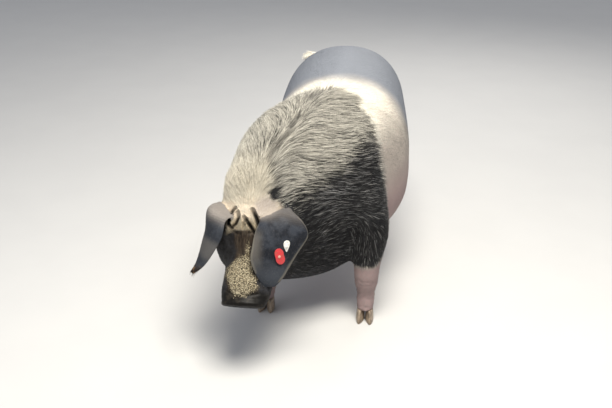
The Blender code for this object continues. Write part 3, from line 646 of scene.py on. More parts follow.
def creaseMove(places):
    # how far the folds and rings of the body move the skin
    move = np.zeros(len(places))
    for line, depth, width in bodyFolds:
        gap, share = pathDistance(places, line)
        move -= depth * tapered(share, 0.06, 0.7) * crease(gap, width, *skinSet["foldBank"])
    for (x, y), heights in legRings:
        near = smoothStep(np.hypot(places[:, 0] - x, places[:, 1] - y), 0.10, 0.06)
        turn = np.arctan2(places[:, 1] - y, places[:, 0] - x)
        for k, height in enumerate(heights):
            level = places[:, 2] - height - 0.004 * np.sin(turn * 2 + k) - 0.002 * np.sin(turn * 5 + 2 * k)
            move -= skinSet["ringDepth"] * near * bell(level, skinSet["ringWidth"])
    soft = smoothStep(places[:, 2], 0.10, 0.30) * smoothStep(places[:, 1], -0.55, -0.42)
    return move + soft * (0.0026 * wave(places, 1.5, 8) + 0.0011 * wave(places, 4.5, 9))


def sculptBody():
    mesh = skin.data
    places = getPlaces(mesh)
    normals = getNormals(mesh)
    places += normals * creaseMove(places)[:, None]
    # the skin lies under the coat, except where the hair is thin
    thin = [
        isOn(skinOwner, "snout", *earNodes) * 1.0,
        smoothStep(onHead(places)[0], 0.05, 0.16) * (places[:, 1] < -0.53),
        smoothStep(places[:, 2], 0.30, 0.15),
        isOn(skinOwner, "tail") * 0.8,
    ]
    bristly = smoothStep(places[:, 1], 0.10, -0.06) * smoothStep(places[:, 2], 0.30, 0.55)
    depth = skinSet["furDepth"] + (skinSet["bristleDepth"] - skinSet["furDepth"]) * bristly
    places -= normals * (depth * (1 - np.max(thin, axis=0)))[:, None]
    setPlaces(mesh, places)


sculptBody()
print("body sculpted")

# markings and painted shade, shared by the skin and the coat

gritAlong = (0.236, 0.258, 0.279, 0.308, 0.345, 0.362, 0.376)
markSet = {
    "legBorder": 0.245,
    "blazeEnd": 0.148,
    "spot": (-0.087, -0.554, 0.628),
    "spotRadius": 0.019,
    "bridgeMiddle": -0.019,
    "gritEnds": (0.240, 0.372),
}
# borders, each with the places along it and how far out or back it lies there
borders = {
    "forehand": (
        (0.10, 0.25, 0.36, 0.48, 0.615, 0.74, 0.82, 0.87),
        (-0.330, -0.300, -0.275, -0.236, -0.216, -0.168, -0.096, 0.056),
    ),
    "paleReach": ((-0.52, -0.40, -0.25), (0.192, 0.236, 0.338)),
    "lowNeck": ((-0.56, -0.42, -0.28), (0.085, 0.060, 0.0)),
    "blazeLeft": ((-0.18, -0.03, 0.06, 0.10, 0.15), (-0.060, -0.135, -0.132, -0.092, -0.084)),
    "blazeRight": ((-0.18, -0.03, 0.05, 0.10, 0.15), (0.040, 0.072, 0.098, 0.060, 0.042)),
    "halfBridge": ((0.145, 0.170, 0.220, 0.260, 0.330), (0.052, 0.040, 0.029, 0.036, 0.060)),
    "gritLeft": (gritAlong, (-0.028, -0.050, -0.068, -0.077, -0.064, -0.042, -0.026)),
    "gritRight": (gritAlong, (-0.010, 0.002, 0.016, 0.034, 0.034, 0.018, -0.006)),
}
# oval areas, each with its middle and half sizes
ovals = {
    "shoulder": ((0.245, 0.590), (0.095, 0.175)),
    "patch": ((0.062, 0.050), (0.055, 0.048)),
    "trail": ((0.220, -0.004), (0.045, 0.011)),
}
# the free edges of the left ear, which are paler
earRims = [
    [(-0.142, -0.666, 0.550), (-0.150, -0.713, 0.494), (-0.155, -0.731, 0.452), (-0.139, -0.738, 0.405)],
    [
        (0.003, -0.586, 0.554), (0.043, -0.618, 0.506), (0.015, -0.651, 0.465), (-0.023, -0.693, 0.416),
        (-0.051, -0.726, 0.368),
    ],
]


def border(name, at):
    return np.interp(at, *borders[name])


def oval(name, across, down):
    # 0 in the middle of an oval area, 1 on its edge
    middle, sizes = ovals[name]
    return np.hypot((across - middle[0]) / sizes[0], (down - middle[1]) / sizes[1])


def furrowAt(places):
    # 1 in the middle of the brow's furrows
    along, across, rise = onHead(places)
    flat = np.stack([along, across], 1)
    furrow = np.zeros(len(places))
    for line, depth, width in faceFurrows[:5]:
        gap, share = pathDistance(flat, line)
        core = np.clip(1.9 * bell(gap, faceSet["furrowWidth"] * width * 1.35), 0, 1)
        furrow = np.maximum(furrow, depth * tapered(share, 0.12, 0.6) * core)
    return furrow * (rise > -0.06) * (places[:, 1] < -0.42)


def bodyMarks(places, owner, ragged, fray):
    x, y, z = places.T
    along, across = onHead(places)[:2]
    dark = smoothStep(border("forehand", z) + ragged + fray - y, -0.014, 0.014)
    outer = np.where(isOn(owner, "leg_front_left"), x - 0.200, -0.130 - x)
    legLine = markSet["legBorder"] + 0.28 * outer + 0.10 * (y + 0.33) + 1.2 * ragged
    foreleg = smoothStep(z, legLine - 0.014, legLine + 0.014)
    dark = np.where(isOn(owner, "leg_front_left", "leg_front_right"), dark * foreleg, dark)
    spotGap = np.linalg.norm(places - np.array(markSet["spot"]), axis=1)
    spot = smoothStep(spotGap + 0.8 * fray, markSet["spotRadius"] * 1.6, markSet["spotRadius"] * 0.6)
    # the line down the middle of the neck and back, where the bristles part
    spineGap = alongSpine(places)[2]
    part = smoothStep(spineGap + fray * 0.9, 0.017, 0.004)
    part *= smoothStep(y, -0.570, -0.520) * smoothStep(y, 0.10, 0.00)
    # dense pale bristles, most of all on top of the neck and shoulders
    pale = smoothStep(z + 1.5 * ragged + border("lowNeck", y), 0.50, 0.76)
    pale *= smoothStep(spineGap + 1.5 * ragged - border("paleReach", y), 0.070, -0.070)
    poll = smoothStep(along, 0.07, -0.05)
    poll *= smoothStep(across, -0.200, -0.130) * smoothStep(across, 0.165, 0.090)
    pale = np.maximum(pale, 0.8 * poll * (y < -0.45) * smoothStep(z + ragged, 0.53, 0.60))
    # the shoulder's side is all black
    black = smoothStep(oval("shoulder", x + ragged, z + ragged), 1.3, 0.6) * (y > -0.40)
    pale *= (1 - 0.75 * black) * (1 - 0.95 * spot)
    # single light bristles scattered over the dark shoulder, which also stand for painted sheen on the black
    # hair
    scatterAndSheen = smoothStep(z + 1.5 * ragged, 0.44, 0.62) * smoothStep(y, -0.56, -0.42) * (1 - 0.9 * black)
    # painted shade: the pale rump takes the blue-grey of pale skin in shade
    cool = smoothStep(y + 1.2 * ragged - 0.30 * (0.85 - z), 0.020, 0.215)
    cool *= smoothStep(z + 2 * ragged, 0.30, 0.64) * ~isOn(owner, "tail")
    return {
        "dark": dark, "spot": spot, "part": part, "pale": pale, "frost": 0.15 + 0.85 * scatterAndSheen, "cool": cool,
        # painted shade: the pale flanks turn darker below the back
        "side": smoothStep(z + 1.5 * ragged, 0.815, 0.640) * (1 - dark),
        # pink skin of the lower body and legs, its colour darkened as painted shade
        "pink": smoothStep(z + 0.5 * ragged, 0.62, 0.40) * (1 - dark),
    }


def faceMarks(places, owner, fray, spot):
    y = places[:, 1]
    along, across, rise = onHead(places)
    onFront = (y < -0.42) & ~isEar(owner)
    faceUp = smoothStep(rise, -0.110, -0.070)
    # cream forehead, which runs up into the neck and ends at the brow's folds
    blaze = smoothStep(across - border("blazeLeft", along) + fray, -0.012, 0.014)
    blaze *= smoothStep(border("blazeRight", along) + fray - across, -0.014, 0.014)
    blaze *= smoothStep(markSet["blazeEnd"] + 1.8 * fray - along, -0.010, 0.010)
    blaze *= smoothStep(along, -0.190, -0.030) * faceUp * onFront * (1 - spot)
    patch = smoothStep(oval("patch", along, across) + 12 * fray, 1.15, 0.55)
    patch *= (1 - spot) * faceUp * onFront
    # the bridge of the nose is brown, the rest of the face black, and the blob above the snout sandy
    aside = np.abs(across - markSet["bridgeMiddle"])
    bridge = smoothStep(border("halfBridge", along) + fray - aside, -0.008, 0.008)
    bridge *= smoothStep(along + fray, 0.136, 0.152) * smoothStep(rise, -0.100, -0.070) * onFront
    start, end = markSet["gritEnds"]
    sides = (across - border("gritLeft", along), border("gritRight", along) - across)
    inside = np.min([*sides, along - start, end - along], axis=0)
    trail = smoothStep(oval("trail", along, across) + 16 * fray, 1.3, 0.2)
    grit = np.maximum(smoothStep(inside + 1.6 * fray, -0.020, 0.014), 0.55 * trail)
    return {
        "face": smoothStep(along, 0.05, 0.14) * smoothStep(y, -0.42, -0.60) * onFront,
        "blaze": blaze, "brow": blaze * smoothStep(along, 0.085, 0.125), "patch": patch,
        # the furrow mark also paints near-black shade into the furrows
        "furrow": furrowAt(places) * ~isEar(owner), "bridge": bridge,
        "grit": grit * onFront * (rise > -0.075),
        "muzzle": smoothStep(along + 0.8 * fray, 0.345, 0.372) * onFront * (y < -0.65),
    }


def earMarks(places, owner, ragged, fray):
    x = places[:, 0]
    ear = isEar(owner) * 1.0
    isLeft, isRight = isOn(owner, "ear_left"), isOn(owner, "ear_right")
    share = np.where(isLeft, earShare(places, "left"), earShare(places, "right"))
    loose = share + 3.0 * ragged
    inner = 0.45 + 0.55 * smoothStep(x, -0.060, -0.120)
    onEdge = smoothStep(x, -0.100, -0.140) * smoothStep(loose, 0.22, 0.40) * smoothStep(loose, 0.95, 0.70)
    onBend = smoothStep(loose, 0.40, 0.52) * smoothStep(loose, 0.82, 0.66)
    pale = np.where(isRight, smoothStep(loose, 0.26, 0.06), inner * smoothStep(loose, 0.20, 0.0))
    rims = [smoothStep(pathDistance(places, line)[0], 0.011, 0.004) for line in earRims]
    return {
        "ear": ear,
        "earShare": share * ear,
        "earPale": pale * ear,
        "earBrown": np.where(isRight, onBend, 0.85 * onEdge) * ear,
        "earTip": np.where(isRight, smoothStep(share + 2.0 * fray, 0.80, 0.95), 0.0) * ear,
        "earLow": np.where(isRight, 0.45, smoothStep(loose, 0.62, 0.85)) * ear,
        "rim": np.max(rims, axis=0) * isLeft,
    }


def markings(places, owner):
    # every mask goes from 0 to 1
    ragged = 0.010 * wave(places, 5.0, 21) + 0.005 * wave(places, 14.0, 22)
    fray = 0.006 * wave(places, 12.0, 23) + 0.004 * wave(places, 30.0, 24)
    body = bodyMarks(places, owner, ragged, fray)
    face = faceMarks(places, owner, fray, body["spot"])
    return {**body, **face, **earMarks(places, owner, ragged, fray)}


def closeToEars(places, owner):
    # 1 on the head beside an ear, 0 a little way from it
    tree = solidsTree(earNodes)[0]
    near = np.zeros(len(places))
    for k in np.flatnonzero((places[:, 1] < -0.40) & ~isEar(owner)).tolist():
        gap = tree.find_nearest(places[k].tolist(), 0.05)[3]
        if gap is not None:
            near[k] = gap
    behind = 0.35 + 0.65 * smoothStep(places[:, 1], -0.640, -0.600)
    return np.where(near > 0, smoothStep(near, 0.030, 0.008), 0.0) * behind


skinPlaces = getPlaces(skin.data)
skinNormals = getNormals(skin.data)


def skinMarkings():
    # the ears' own marks and the head's run on under each other, so that they meet softly
    head, left, right = (fleshNodes.index(name) for name in ("head", "ear_left", "ear_right"))
    marks = markings(skinPlaces, np.where(isEar(skinOwner), head, skinOwner))
    beside = np.where(skinPlaces[:, 0] > earSet["divide"], left, right)
    ears = markings(skinPlaces, np.where(isEar(skinOwner), skinOwner, beside))
    for name in ("earShare", "earPale", "earBrown", "earTip", "earLow", "rim"):
        marks[name] = ears[name]
    marks["ear"] = smoothStep(awayFromEars(skinOwner, getPairs(skin.data), 5), 0.85, 0.25)
    return marks


skinMarks = skinMarkings()
for name, values in skinMarks.items():
    writeMark(skin.data, name, values)
skin.data.shade_smooth()
print("markings laid out")

# the coat

coatSet = {
    "strands": 134000,
    "perPiece": 19000,
    "seed": 7,
    "sink": 0.0015,
    "wispCell": 0.008,
    "gather": 0.20,
    "ridge": 0.50,
    "lengths": (0.7, 1.25),
    "widths": (0.8, 1.3),
    "lifts": (0.5, 1.4),
    "stray": 0.09,
    "middleLift": 0.85,
    "tipLift": 1.25,
    "freeLift": 1.6,
    "freeSag": 0.16,
    "borderFray": 0.38,
    "switchStart": -0.045,
    "streak": (0.0042, 0.015, 51),
    "fineStreak": (0.0028, 0.010, 52),
    "bareEye": 0.0165,
    "bareFoot": 0.047,
    "sheetFaces": 9000,
    "sheetPatch": 0.0015,
}


def inSwitch(places, owner):
    # where the long hair at the end of the tail grows
    return isOn(owner, "tail") & (places[:, 0] < coatSet["switchStart"])


def lieOf(places, normals, owner):
    # which way the hair lies: back from the nose, away from the middle line, and down the legs
    nearest, back, gap = alongSpine(places)
    away = places - nearest
    away -= back * np.sum(away * back, axis=1)[:, None]
    spread = smoothStep(gap, 0.003, 0.055)
    lie = back * 0.72 + unit(away) * (0.78 * spread)[:, None]
    isLeg = isOn(owner, *legNodes)
    leg = isLeg * smoothStep(places[:, 2], 0.52, 0.36)
    lie = lie * (1 - leg)[:, None] + np.array((0, 0.22, -1.0)) * leg[:, None]
    for side in ("left", "right"):
        lie[isOn(owner, "ear_" + side)] = unit(earWay(side, "hair"))
    lie[isOn(owner, "tail")] = (-1.0, 0.15, 0.05)
    lie -= normals * np.sum(lie * normals, axis=1)[:, None]
    lie = unit(lie)
    side = np.cross(normals, lie)
    switch = inSwitch(places, owner)
    lie[switch] = unit(np.array((-1.0, 0.20, -0.50)) + 0.30 * normals[switch])
    turn = 0.24 * wave(places, 2.2, 31) + 0.12 * wave(places, 7.0, 32)
    turn *= np.where(isLeg, 0.4, 1.0) * (1 - 0.75 * smoothStep(places[:, 1], -0.02, 0.20))
    return lie * np.cos(turn)[:, None] + side * np.sin(turn)[:, None]


# large primes, which give each cell of space its own number
cellPrimes = np.array((73856093, 19349663, 83492791))


def cellKeys(places, cell):
    return np.floor(places / cell).astype(np.int64) * cellPrimes


def streaks(places, lie, cell, reach, seed):
    # from 0 to 1, much the same along the lie and quickly different across it
    table = np.random.default_rng(seed).uniform(size=99991)
    total = np.zeros(len(places))
    for step in np.linspace(-1, 1, 7):
        code = cellKeys(places + lie * (reach * step), cell).sum(axis=1)
        total += table[code % len(table)]
    return np.clip(0.5 + (total / 7 - 0.5) * 2.9, 0, 1)


def coatFields():
    # how dense, long, wide and raised the hair is at each point of the skin
    x, y, z = skinPlaces.T
    along = onHead(skinPlaces)[0]
    gap = alongSpine(skinPlaces)[2]
    marks = skinMarks
    neck = marks["dark"] * (z > 0.2)
    upper = smoothStep(z, 0.35, 0.72)
    # the last bristles of the crest stand up a little
    mane = bell(y - 0.045, 0.055) * smoothStep(gap, 0.150, 0.060) * (z > 0.6)
    crest = smoothStep(gap, 0.14, 0.03) * smoothStep(y, 0.30, 0.0) * (along < 0)
    ridge = smoothStep(gap, 0.10, 0.02) * smoothStep(y, 0.25, 0.0)
    fields = np.stack([
        17.0 + 30.0 * upper + neck * (42.0 + 26.0 * upper) + 16.0 * mane,
        0.021 + 0.008 * upper + neck * (0.016 + 0.012 * upper) + 0.008 * crest + 0.010 * mane,
        (0.00105 + 0.00025 * upper) * (0.78 + 0.22 * marks["dark"]),
        0.0030 + 0.0055 * neck * upper + 0.0030 * ridge + 0.0055 * mane,
    ])
    density = fields[0]

    def lessen(where, *shares):
        # takes a share of density, length, width and lift away
        for field, share in zip(fields, shares):
            field *= 1 - share * where

    def become(where, *values):
        # sets density, length, width and lift
        for field, value in zip(fields, values):
            field[:] = field * (1 - where) + where * value

    rump = np.maximum(smoothStep(y, 0.00, 0.22), (1 - marks["dark"]) * smoothStep(z, 0.86, 0.52))
    lessen(rump, 0.25, 0.35, 0.42, 0.88)
    face = smoothStep(along, -0.02, 0.09) * smoothStep(y, -0.44, -0.58)
    become(
        face, 72.0 + 26 * marks["blaze"] + 20 * marks["brow"],
        0.014 - 0.007 * smoothStep(along, 0.12, 0.3) - 0.004 * marks["brow"],
        0.00075, 0.0014 + 0.0010 * marks["brow"],
    )
    become(smoothStep(z, 0.36, 0.20), 24.0, 0.013 - 0.003 * smoothStep(z, 0.15, 0.05), 0.0009, 0.0014)
    lessen(smoothStep(-skinNormals[:, 2], 0.4, 0.8) * smoothStep(z, 0.45, 0.25) * (z > 0.19), 0.6)
    lessen(marks["part"], 0.45, 0, 0, 0.50)
    become(
        isEar(skinOwner), 36.0 + 16.0 * marks["earPale"] + 24.0 * marks["earTip"],
        0.0070 + 0.011 * marks["earTip"], 0.00032, 0.0006,
    )
    density *= 1 + 0.35 * marks["patch"] + 0.5 * marks["brow"]
    lessen(marks["patch"], 0, 0.40, 0, 0.60)
    isTail = isOn(skinOwner, "tail")
    switch = isTail * smoothStep(x, -0.040, -0.062)
    become(isTail, 40.0 + 190.0 * switch, 0.014 + 0.020 * switch, 0.0010, 0.0015 + 0.006 * switch)
    lessen(marks["grit"], 0.80)
    lessen(marks["muzzle"], 0.6)
    lessen(np.clip(marks["furrow"], 0, 1), 1)
    # no hair on the snout, round the eyes and down by the claws
    bare = isOn(skinOwner, "snout") | ((along > 0.376) & (y < -0.7)) | (z < coatSet["bareFoot"])
    for side in ("left", "right"):
        bare |= np.linalg.norm(skinPlaces - eyeMiddle(side), axis=1) < coatSet["bareEye"]
    density[bare] = 0.0
    # short and flat where an ear leaves the head
    lessen(closeToEars(skinPlaces, skinOwner), 0.20, 0.70, 0, 0.85)
    return fields


def triangleArrays(mesh):
    mesh.calc_loop_triangles()
    flat = np.empty(len(mesh.loop_triangles) * 3, int)
    mesh.loop_triangles.foreach_get("vertices", flat)
    return flat.reshape(-1, 3)


class Roots:
    # places on the skin where hair grows, with what the skin says there
    def __init__(self, count, seed):
        chance = np.random.default_rng(seed)
        corners = triangleArrays(skin.data)
        density, length, wide, lift = coatFields()
        a, b, c = (skinPlaces[corners[:, k]] for k in range(3))
        area = 0.5 * np.linalg.norm(np.cross(b - a, c - a), axis=1)
        total = np.cumsum(area * density[corners].mean(axis=1))
        pick = np.sort(np.searchsorted(total, chance.uniform(0, total[-1], count)))
        u, v = chance.uniform(size=count), chance.uniform(size=count)
        over = u + v > 1
        u[over], v[over] = 1 - u[over], 1 - v[over]
        share = np.stack([1 - u - v, u, v], 1)
        rows = corners[pick]

        def mixed(values):
            return np.sum(values[rows] * share, axis=1)

        self.places = np.stack([mixed(skinPlaces[:, k]) for k in range(3)], 1)
        self.normals = unit(np.stack([mixed(skinNormals[:, k]) for k in range(3)], 1))
        self.owner = skinOwner[rows[:, 0]]
        self.length, self.wide, self.lift = mixed(length), mixed(wide), mixed(lift)
        self.earTip = mixed(skinMarks["earTip"])
        self.chance = chance


skinTree = BVHTree.FromPolygons(skinPlaces.tolist(), [tuple(p.vertices) for p in skin.data.polygons])


def nearestOn(tree, places):
    # the nearest spot of a tree's faces for each place, the way out of its face, and its number
    spots, ways = np.empty_like(places), np.empty_like(places)
    picks = np.empty(len(places), int)
    for k, place in enumerate(places.tolist()):
        spots[k], ways[k], picks[k] = tree.find_nearest(place)[:3]
    return spots, ways, picks


class BakePlaces:
    # an unwrap of the skin's own shape, which gives each strand its patch
    def __init__(self):
        proxy = linkObject("skinGuide", skin.data.copy())
        modified(proxy, "DECIMATE", ratio=coatSet["sheetFaces"] / (2 * len(skin.data.polygons)))
        bpy.context.view_layer.objects.active = proxy
        proxy.select_set(True)
        bpy.ops.object.mode_set(mode="EDIT")
        bpy.ops.mesh.select_all(action="SELECT")
        bpy.ops.uv.smart_project(angle_limit=math.radians(66), island_margin=0.004)
        bpy.ops.object.mode_set(mode="OBJECT")
        mesh = proxy.data
        self.corners = triangleArrays(mesh)
        loops = np.empty(len(mesh.loop_triangles) * 3, int)
        mesh.loop_triangles.foreach_get("loops", loops)
        flat = np.empty(len(mesh.loops) * 2)
        mesh.uv_layers.active.data.foreach_get("uv", flat)
        self.sheet = flat.reshape(-1, 2)[loops.reshape(-1, 3)]
        self.places = getPlaces(mesh)
        self.tree = BVHTree.FromPolygons(self.places.tolist(), self.corners.tolist())
        bpy.data.objects.remove(proxy)

    def at(self, places):
        spots, ways, picks = nearestOn(self.tree, places)
        a, b, c = (self.places[self.corners[picks, k]] for k in range(3))
        whole = np.cross(b - a, c - a)
        size = np.maximum(np.sum(whole * whole, axis=1), 1e-20)
        v = np.clip(np.sum(np.cross(b - a, spots - a) * whole, axis=1) / size, 0, 1)
        u = np.clip(np.sum(np.cross(spots - a, c - a) * whole, axis=1) / size, 0, 1)
        share = np.stack([1 - u - v, u, v], 1)
        return np.sum(self.sheet[picks] * share[:, :, None], axis=1)


bakePlaces = BakePlaces()
print("unwrap ready")

# a strand has three points at its root, three at its middle and one at its tip
strandPoints = 7
strandReach = np.array((0, 0, 0, 0.5, 0.5, 0.5, 1.0))
strandSheet = np.array([(-1, -1), (0, -1), (1, -1), (-1, 0), (0, 0), (1, 0), (0, 1)]) * coatSet["sheetPatch"]
strandFaces = [(2, 1, 0)]
for k in range(3):
    n = (k + 1) % 3
    strandFaces += [(k, n, 3 + n), (k, 3 + n, 3 + k), (3 + k, 3 + n, 6)]
strandFaces = np.array(strandFaces)


def buildStrands(name, strands, marks, material):
    # each strand is a closed, flattened, tapered tuft of ten triangles
    count = len(strands["root"])
    rows = np.empty((count, strandPoints, 3))
    for base, centre, girth in ((0, strands["root"], 0.75), (3, strands["middle"], 1.0)):
        half = strands["wide"][:, None] * 0.5 * girth
        rows[:, base] = centre + strands["sideways"] * half
        rows[:, base + 1] = centre + strands["upwards"] * half * coatSet["ridge"]
        rows[:, base + 2] = centre - strands["sideways"] * half
    rows[:, 6] = strands["tip"]
    corners = (strandFaces[None] + (np.arange(count) * strandPoints)[:, None, None]).ravel()
    mesh = bpy.data.meshes.new(name)
    mesh.vertices.add(count * strandPoints)
    mesh.vertices.foreach_set("co", rows.ravel())
    mesh.loops.add(len(corners))
    mesh.loops.foreach_set("vertex_index", corners.astype(np.int32))
    mesh.polygons.add(len(corners) // 3)
    mesh.polygons.foreach_set("loop_start", np.arange(0, len(corners), 3, dtype=np.int32))
    mesh.update(calc_edges=True)
    mesh.shade_flat()
    sheet = (strands["sheet"][:, None, :] + strandSheet[None]).reshape(-1, 2)
    mesh.uv_layers.new(name="OFBake").data.foreach_set("uv", sheet[corners].ravel())
    for key, values in marks.items():
        writeMark(mesh, key, np.repeat(values, strandPoints))
    writeMark(mesh, "reach", np.tile(strandReach, count))
    mesh.materials.append(material)
    return linkObject(name, mesh)


# shader maths


class Shade:
    # wraps a socket, so that shader maths reads as Python
    def __init__(self, finish, socket):
        self.finish = finish
        self.socket = socket

    def join(self, operation, first, second):
        return self.finish.shade("Math", {"operation": operation}, {0: first, 1: second})

    def __add__(self, other):
        return self.join("ADD", self, other)

    def __radd__(self, other):
        return self.join("ADD", other, self)

    def __sub__(self, other):
        return self.join("SUBTRACT", self, other)

    def __rsub__(self, other):
        return self.join("SUBTRACT", other, self)

    def __mul__(self, other):
        return self.join("MULTIPLY", self, other)

    def __rmul__(self, other):
        return self.join("MULTIPLY", other, self)


class Finish:
    # one material and the few ways its nodes are made
    def __init__(self, name):
        self.material = bpy.data.materials.new(name)
        self.material.use_nodes = True
        self.tree = self.material.node_tree
        self.tree.nodes.clear()
        self.output = self.add("OutputMaterial")

    def add(self, kind, settings=None, sockets=None):
        node = self.tree.nodes.new("ShaderNode" + kind)
        for key, value in (settings or {}).items():
            if key == "stops":
                ramp = node.color_ramp
                while len(ramp.elements) > 1:
                    ramp.elements.remove(ramp.elements[-1])
                ramp.elements[0].position = value[0][0]
                ramp.elements[0].color = value[0][1]
                for place, colour in value[1:]:
                    ramp.elements.new(place).color = colour
            else:
                setattr(node, key, value)
        for key, value in (sockets or {}).items():
            target = node.inputs[key]
            if isinstance(value, Shade):
                self.tree.links.new(value.socket, target)
            else:
                target.default_value = value
        return node

    def shade(self, kind, settings, sockets, output=0):
        return Shade(self, self.add(kind, settings, sockets).outputs[output])

    def mark(self, name):
        return self.shade("Attribute", {"attribute_type": "GEOMETRY", "attribute_name": name}, {}, "Fac")

    def place(self, scale=(1, 1, 1)):
        spot = self.shade("TexCoord", {}, {}, "Object")
        return self.shade("Mapping", {}, {"Vector": spot, "Scale": scale})

    def noise(self, scale, detail=3.0, rough=0.55, at=None, warp=0.0):
        sockets = {"Scale": scale, "Detail": detail, "Roughness": rough, "Distortion": warp}
        sockets["Vector"] = at if at is not None else self.place()
        return self.shade("TexNoise", {"noise_dimensions": "3D"}, sockets)

    def grain(self, stretch, detail=3.0, rough=0.5, warp=0.0):
        # a noise that is finer along some axes than along others
        return self.noise(1.0, detail, rough, self.place(stretch), warp)

    def cells(self, scale, at=None):
        # how far from the middle of its cell a place is, and the cell's own random colour
        sockets = {"Scale": scale, "Vector": at if at is not None else self.place()}
        node = self.add("TexVoronoi", {}, sockets)
        return Shade(self, node.outputs["Distance"]), Shade(self, node.outputs["Color"])

    def warped(self, scale, amount):
        # a place pushed about by a noise
        spot = self.place()
        sockets = {"Scale": scale, "Detail": 2.0, "Vector": spot}
        push = self.shade("TexNoise", {"noise_dimensions": "3D"}, sockets, 1)
        moved = {0: push, 1: (amount, amount, amount), 2: spot}
        return self.shade("VectorMath", {"operation": "MULTIPLY_ADD"}, moved)

    def span(self, value, low, high, newLow=0.0, newHigh=1.0):
        sockets = {"Value": value, "From Min": low, "From Max": high, "To Min": newLow, "To Max": newHigh}
        return self.shade("MapRange", {"interpolation_type": "SMOOTHSTEP"}, sockets)

    def mix(self, factor, first, second, blend="MIX"):
        # a colour is a link, three numbers, or a name in the colours of the skin and coat
        def whole(colour):
            if isinstance(colour, Shade):
                return colour
            return (*colours.get(colour, colour), 1.0)

        settings = {"data_type": "RGBA", "blend_type": blend, "clamp_factor": True}
        return self.shade("Mix", settings, {0: factor, 6: whole(first), 7: whole(second)}, 2)

    def layered(self, colour, layers):
        # lays colours over each other, each where its mark is and as strong as its share
        for name, share, over in layers:
            colour = self.mix(self.mark(name) * share, colour, over)
        return colour

    def dimmed(self, colour, level):
        grey = self.shade("CombineColor", {}, {0: level, 1: level, 2: level})
        return self.mix(1.0, colour, grey, "MULTIPLY")

    def bump(self, height, strength, distance, normal=None):
        sockets = {"Height": height, "Strength": strength, "Distance": distance}
        if normal is not None:
            sockets["Normal"] = normal
        return self.shade("Bump", {}, sockets)

    def surface(self, sockets):
        shader = self.shade("BsdfPrincipled", {}, sockets)
        self.tree.links.new(shader.socket, self.output.inputs[0])
        return self.material


colours = {
    "paleSkin": (0.80, 0.72, 0.61),
    # painted shade on the pale skin of the flanks
    "sideSkin": (0.25, 0.220, 0.192),
    # pink skin, darkened as painted shade
    "pinkSkin": (0.250, 0.165, 0.165),
    # painted shade: pale skin of the rump in blue shade
    "coolSkin": (0.172, 0.184, 0.206),
    "darkSkin": (0.009, 0.009, 0.010),
    "darkGrain": (0.030, 0.030, 0.034),
    "partSkin": (0.070, 0.062, 0.052),
    "blazeSkin": (0.46, 0.38, 0.29),
    "patchSkin": (0.30, 0.262, 0.222),
    "browSkin": (0.105, 0.078, 0.046),
    "browGrain": (0.34, 0.275, 0.175),
    # painted shade, near black, deep in the brow's furrows
    "furrowSkin": (0.0025, 0.002, 0.0015),
    "bridgeSkin": (0.013, 0.0085, 0.0055),
    "bridgeGrain": (0.055, 0.040, 0.026),
    "gritPale": (0.60, 0.52, 0.35),
    "gritDark": (0.030, 0.021, 0.011),
    "muzzleSkin": (0.004, 0.0034, 0.0027),
    "muzzleGrain": (0.022, 0.018, 0.013),
    "slate": (0.0100, 0.0115, 0.0155),
    "slatePale": (0.034, 0.039, 0.049),
    "earLow": (0.042, 0.047, 0.056),
    "earBase": (0.182, 0.163, 0.147),
    "earBrown": (0.105, 0.096, 0.084),
    "earTip": (0.018, 0.012, 0.008),
    "earTipGrain": (0.15, 0.080, 0.030),
    "rim": (0.14, 0.128, 0.105),
    "creamHair": (0.84, 0.80, 0.69),
    # painted shade on the pale hair of the flanks
    "sideHair": (0.225, 0.202, 0.178),
    # pink hair, darkened as painted shade
    "pinkHair": (0.240, 0.185, 0.188),
    # painted shade: pale hair of the rump in blue shade
    "coolHair": (0.200, 0.212, 0.236),
    "darkBristle": (0.011, 0.011, 0.012),
    "paleBristle": (0.505, 0.478, 0.406),
    "duskBristle": (0.30, 0.290, 0.272),
    # grey bristles, which also stand for painted sheen on the black hair
    "greyBristle": (0.30, 0.297, 0.292),
    "bristleRoot": (0.016, 0.015, 0.014),
    "partHair": (0.125, 0.116, 0.100),
    "faceHair": (0.016, 0.014, 0.012),
    "blazeHair": (0.60, 0.55, 0.445),
    "browHair": (0.27, 0.235, 0.155),
    "patchHair": (0.46, 0.40, 0.35),
    "spotHair": (0.022, 0.022, 0.024),
    "bridgeHair": (0.030, 0.021, 0.014),
    "gritHair": (0.42, 0.33, 0.18),
    "muzzleHair": (0.016, 0.013, 0.010),
    # painted shade on the hair in the brow's furrows
    "furrowHair": (0.020, 0.014, 0.009),
    "earHair": (0.62, 0.57, 0.50),
}


def earColour(finish):
    patches = finish.span(finish.noise(22.0, 5.0, 0.65), 0.42, 0.66)
    film = finish.mix(finish.span(finish.noise(60.0, 4.0), 0.5, 0.62), "earTip", "earTipGrain")
    return finish.layered(finish.mix(patches * 0.75, "slate", "slatePale"), [
        ("earBrown", 0.85, "earBrown"), ("earLow", 0.8, "earLow"), ("rim", 0.8, "rim"),
        ("earPale", 1.0, "earBase"), ("earTip", 1.0, film),
    ])


def gritLayer(finish):
    # sandy grains: how far from its grain's middle a place is, how strong the layer is, and its colour
    gap, tint = finish.cells(400.0, finish.warped(130.0, 0.009))
    tones = finish.add("SeparateColor", {}, {"Color": tint})
    grain, gone = (Shade(finish, tones.outputs[k]) for k in range(2))
    colour = finish.mix(finish.span(grain, 0.10, 0.90), "gritDark", "gritPale")
    colour = finish.mix(finish.span(gap, 0.30, 0.62) * 0.70, colour, "bridgeSkin")
    there = finish.mark("grit") + (finish.noise(34.0, 4.0) - 0.5) * 0.9
    patchy = finish.span(there - gone * 0.75, 0.02, 0.16) * finish.span(finish.mark("grit"), 0.0, 0.06)
    return gap, patchy, colour


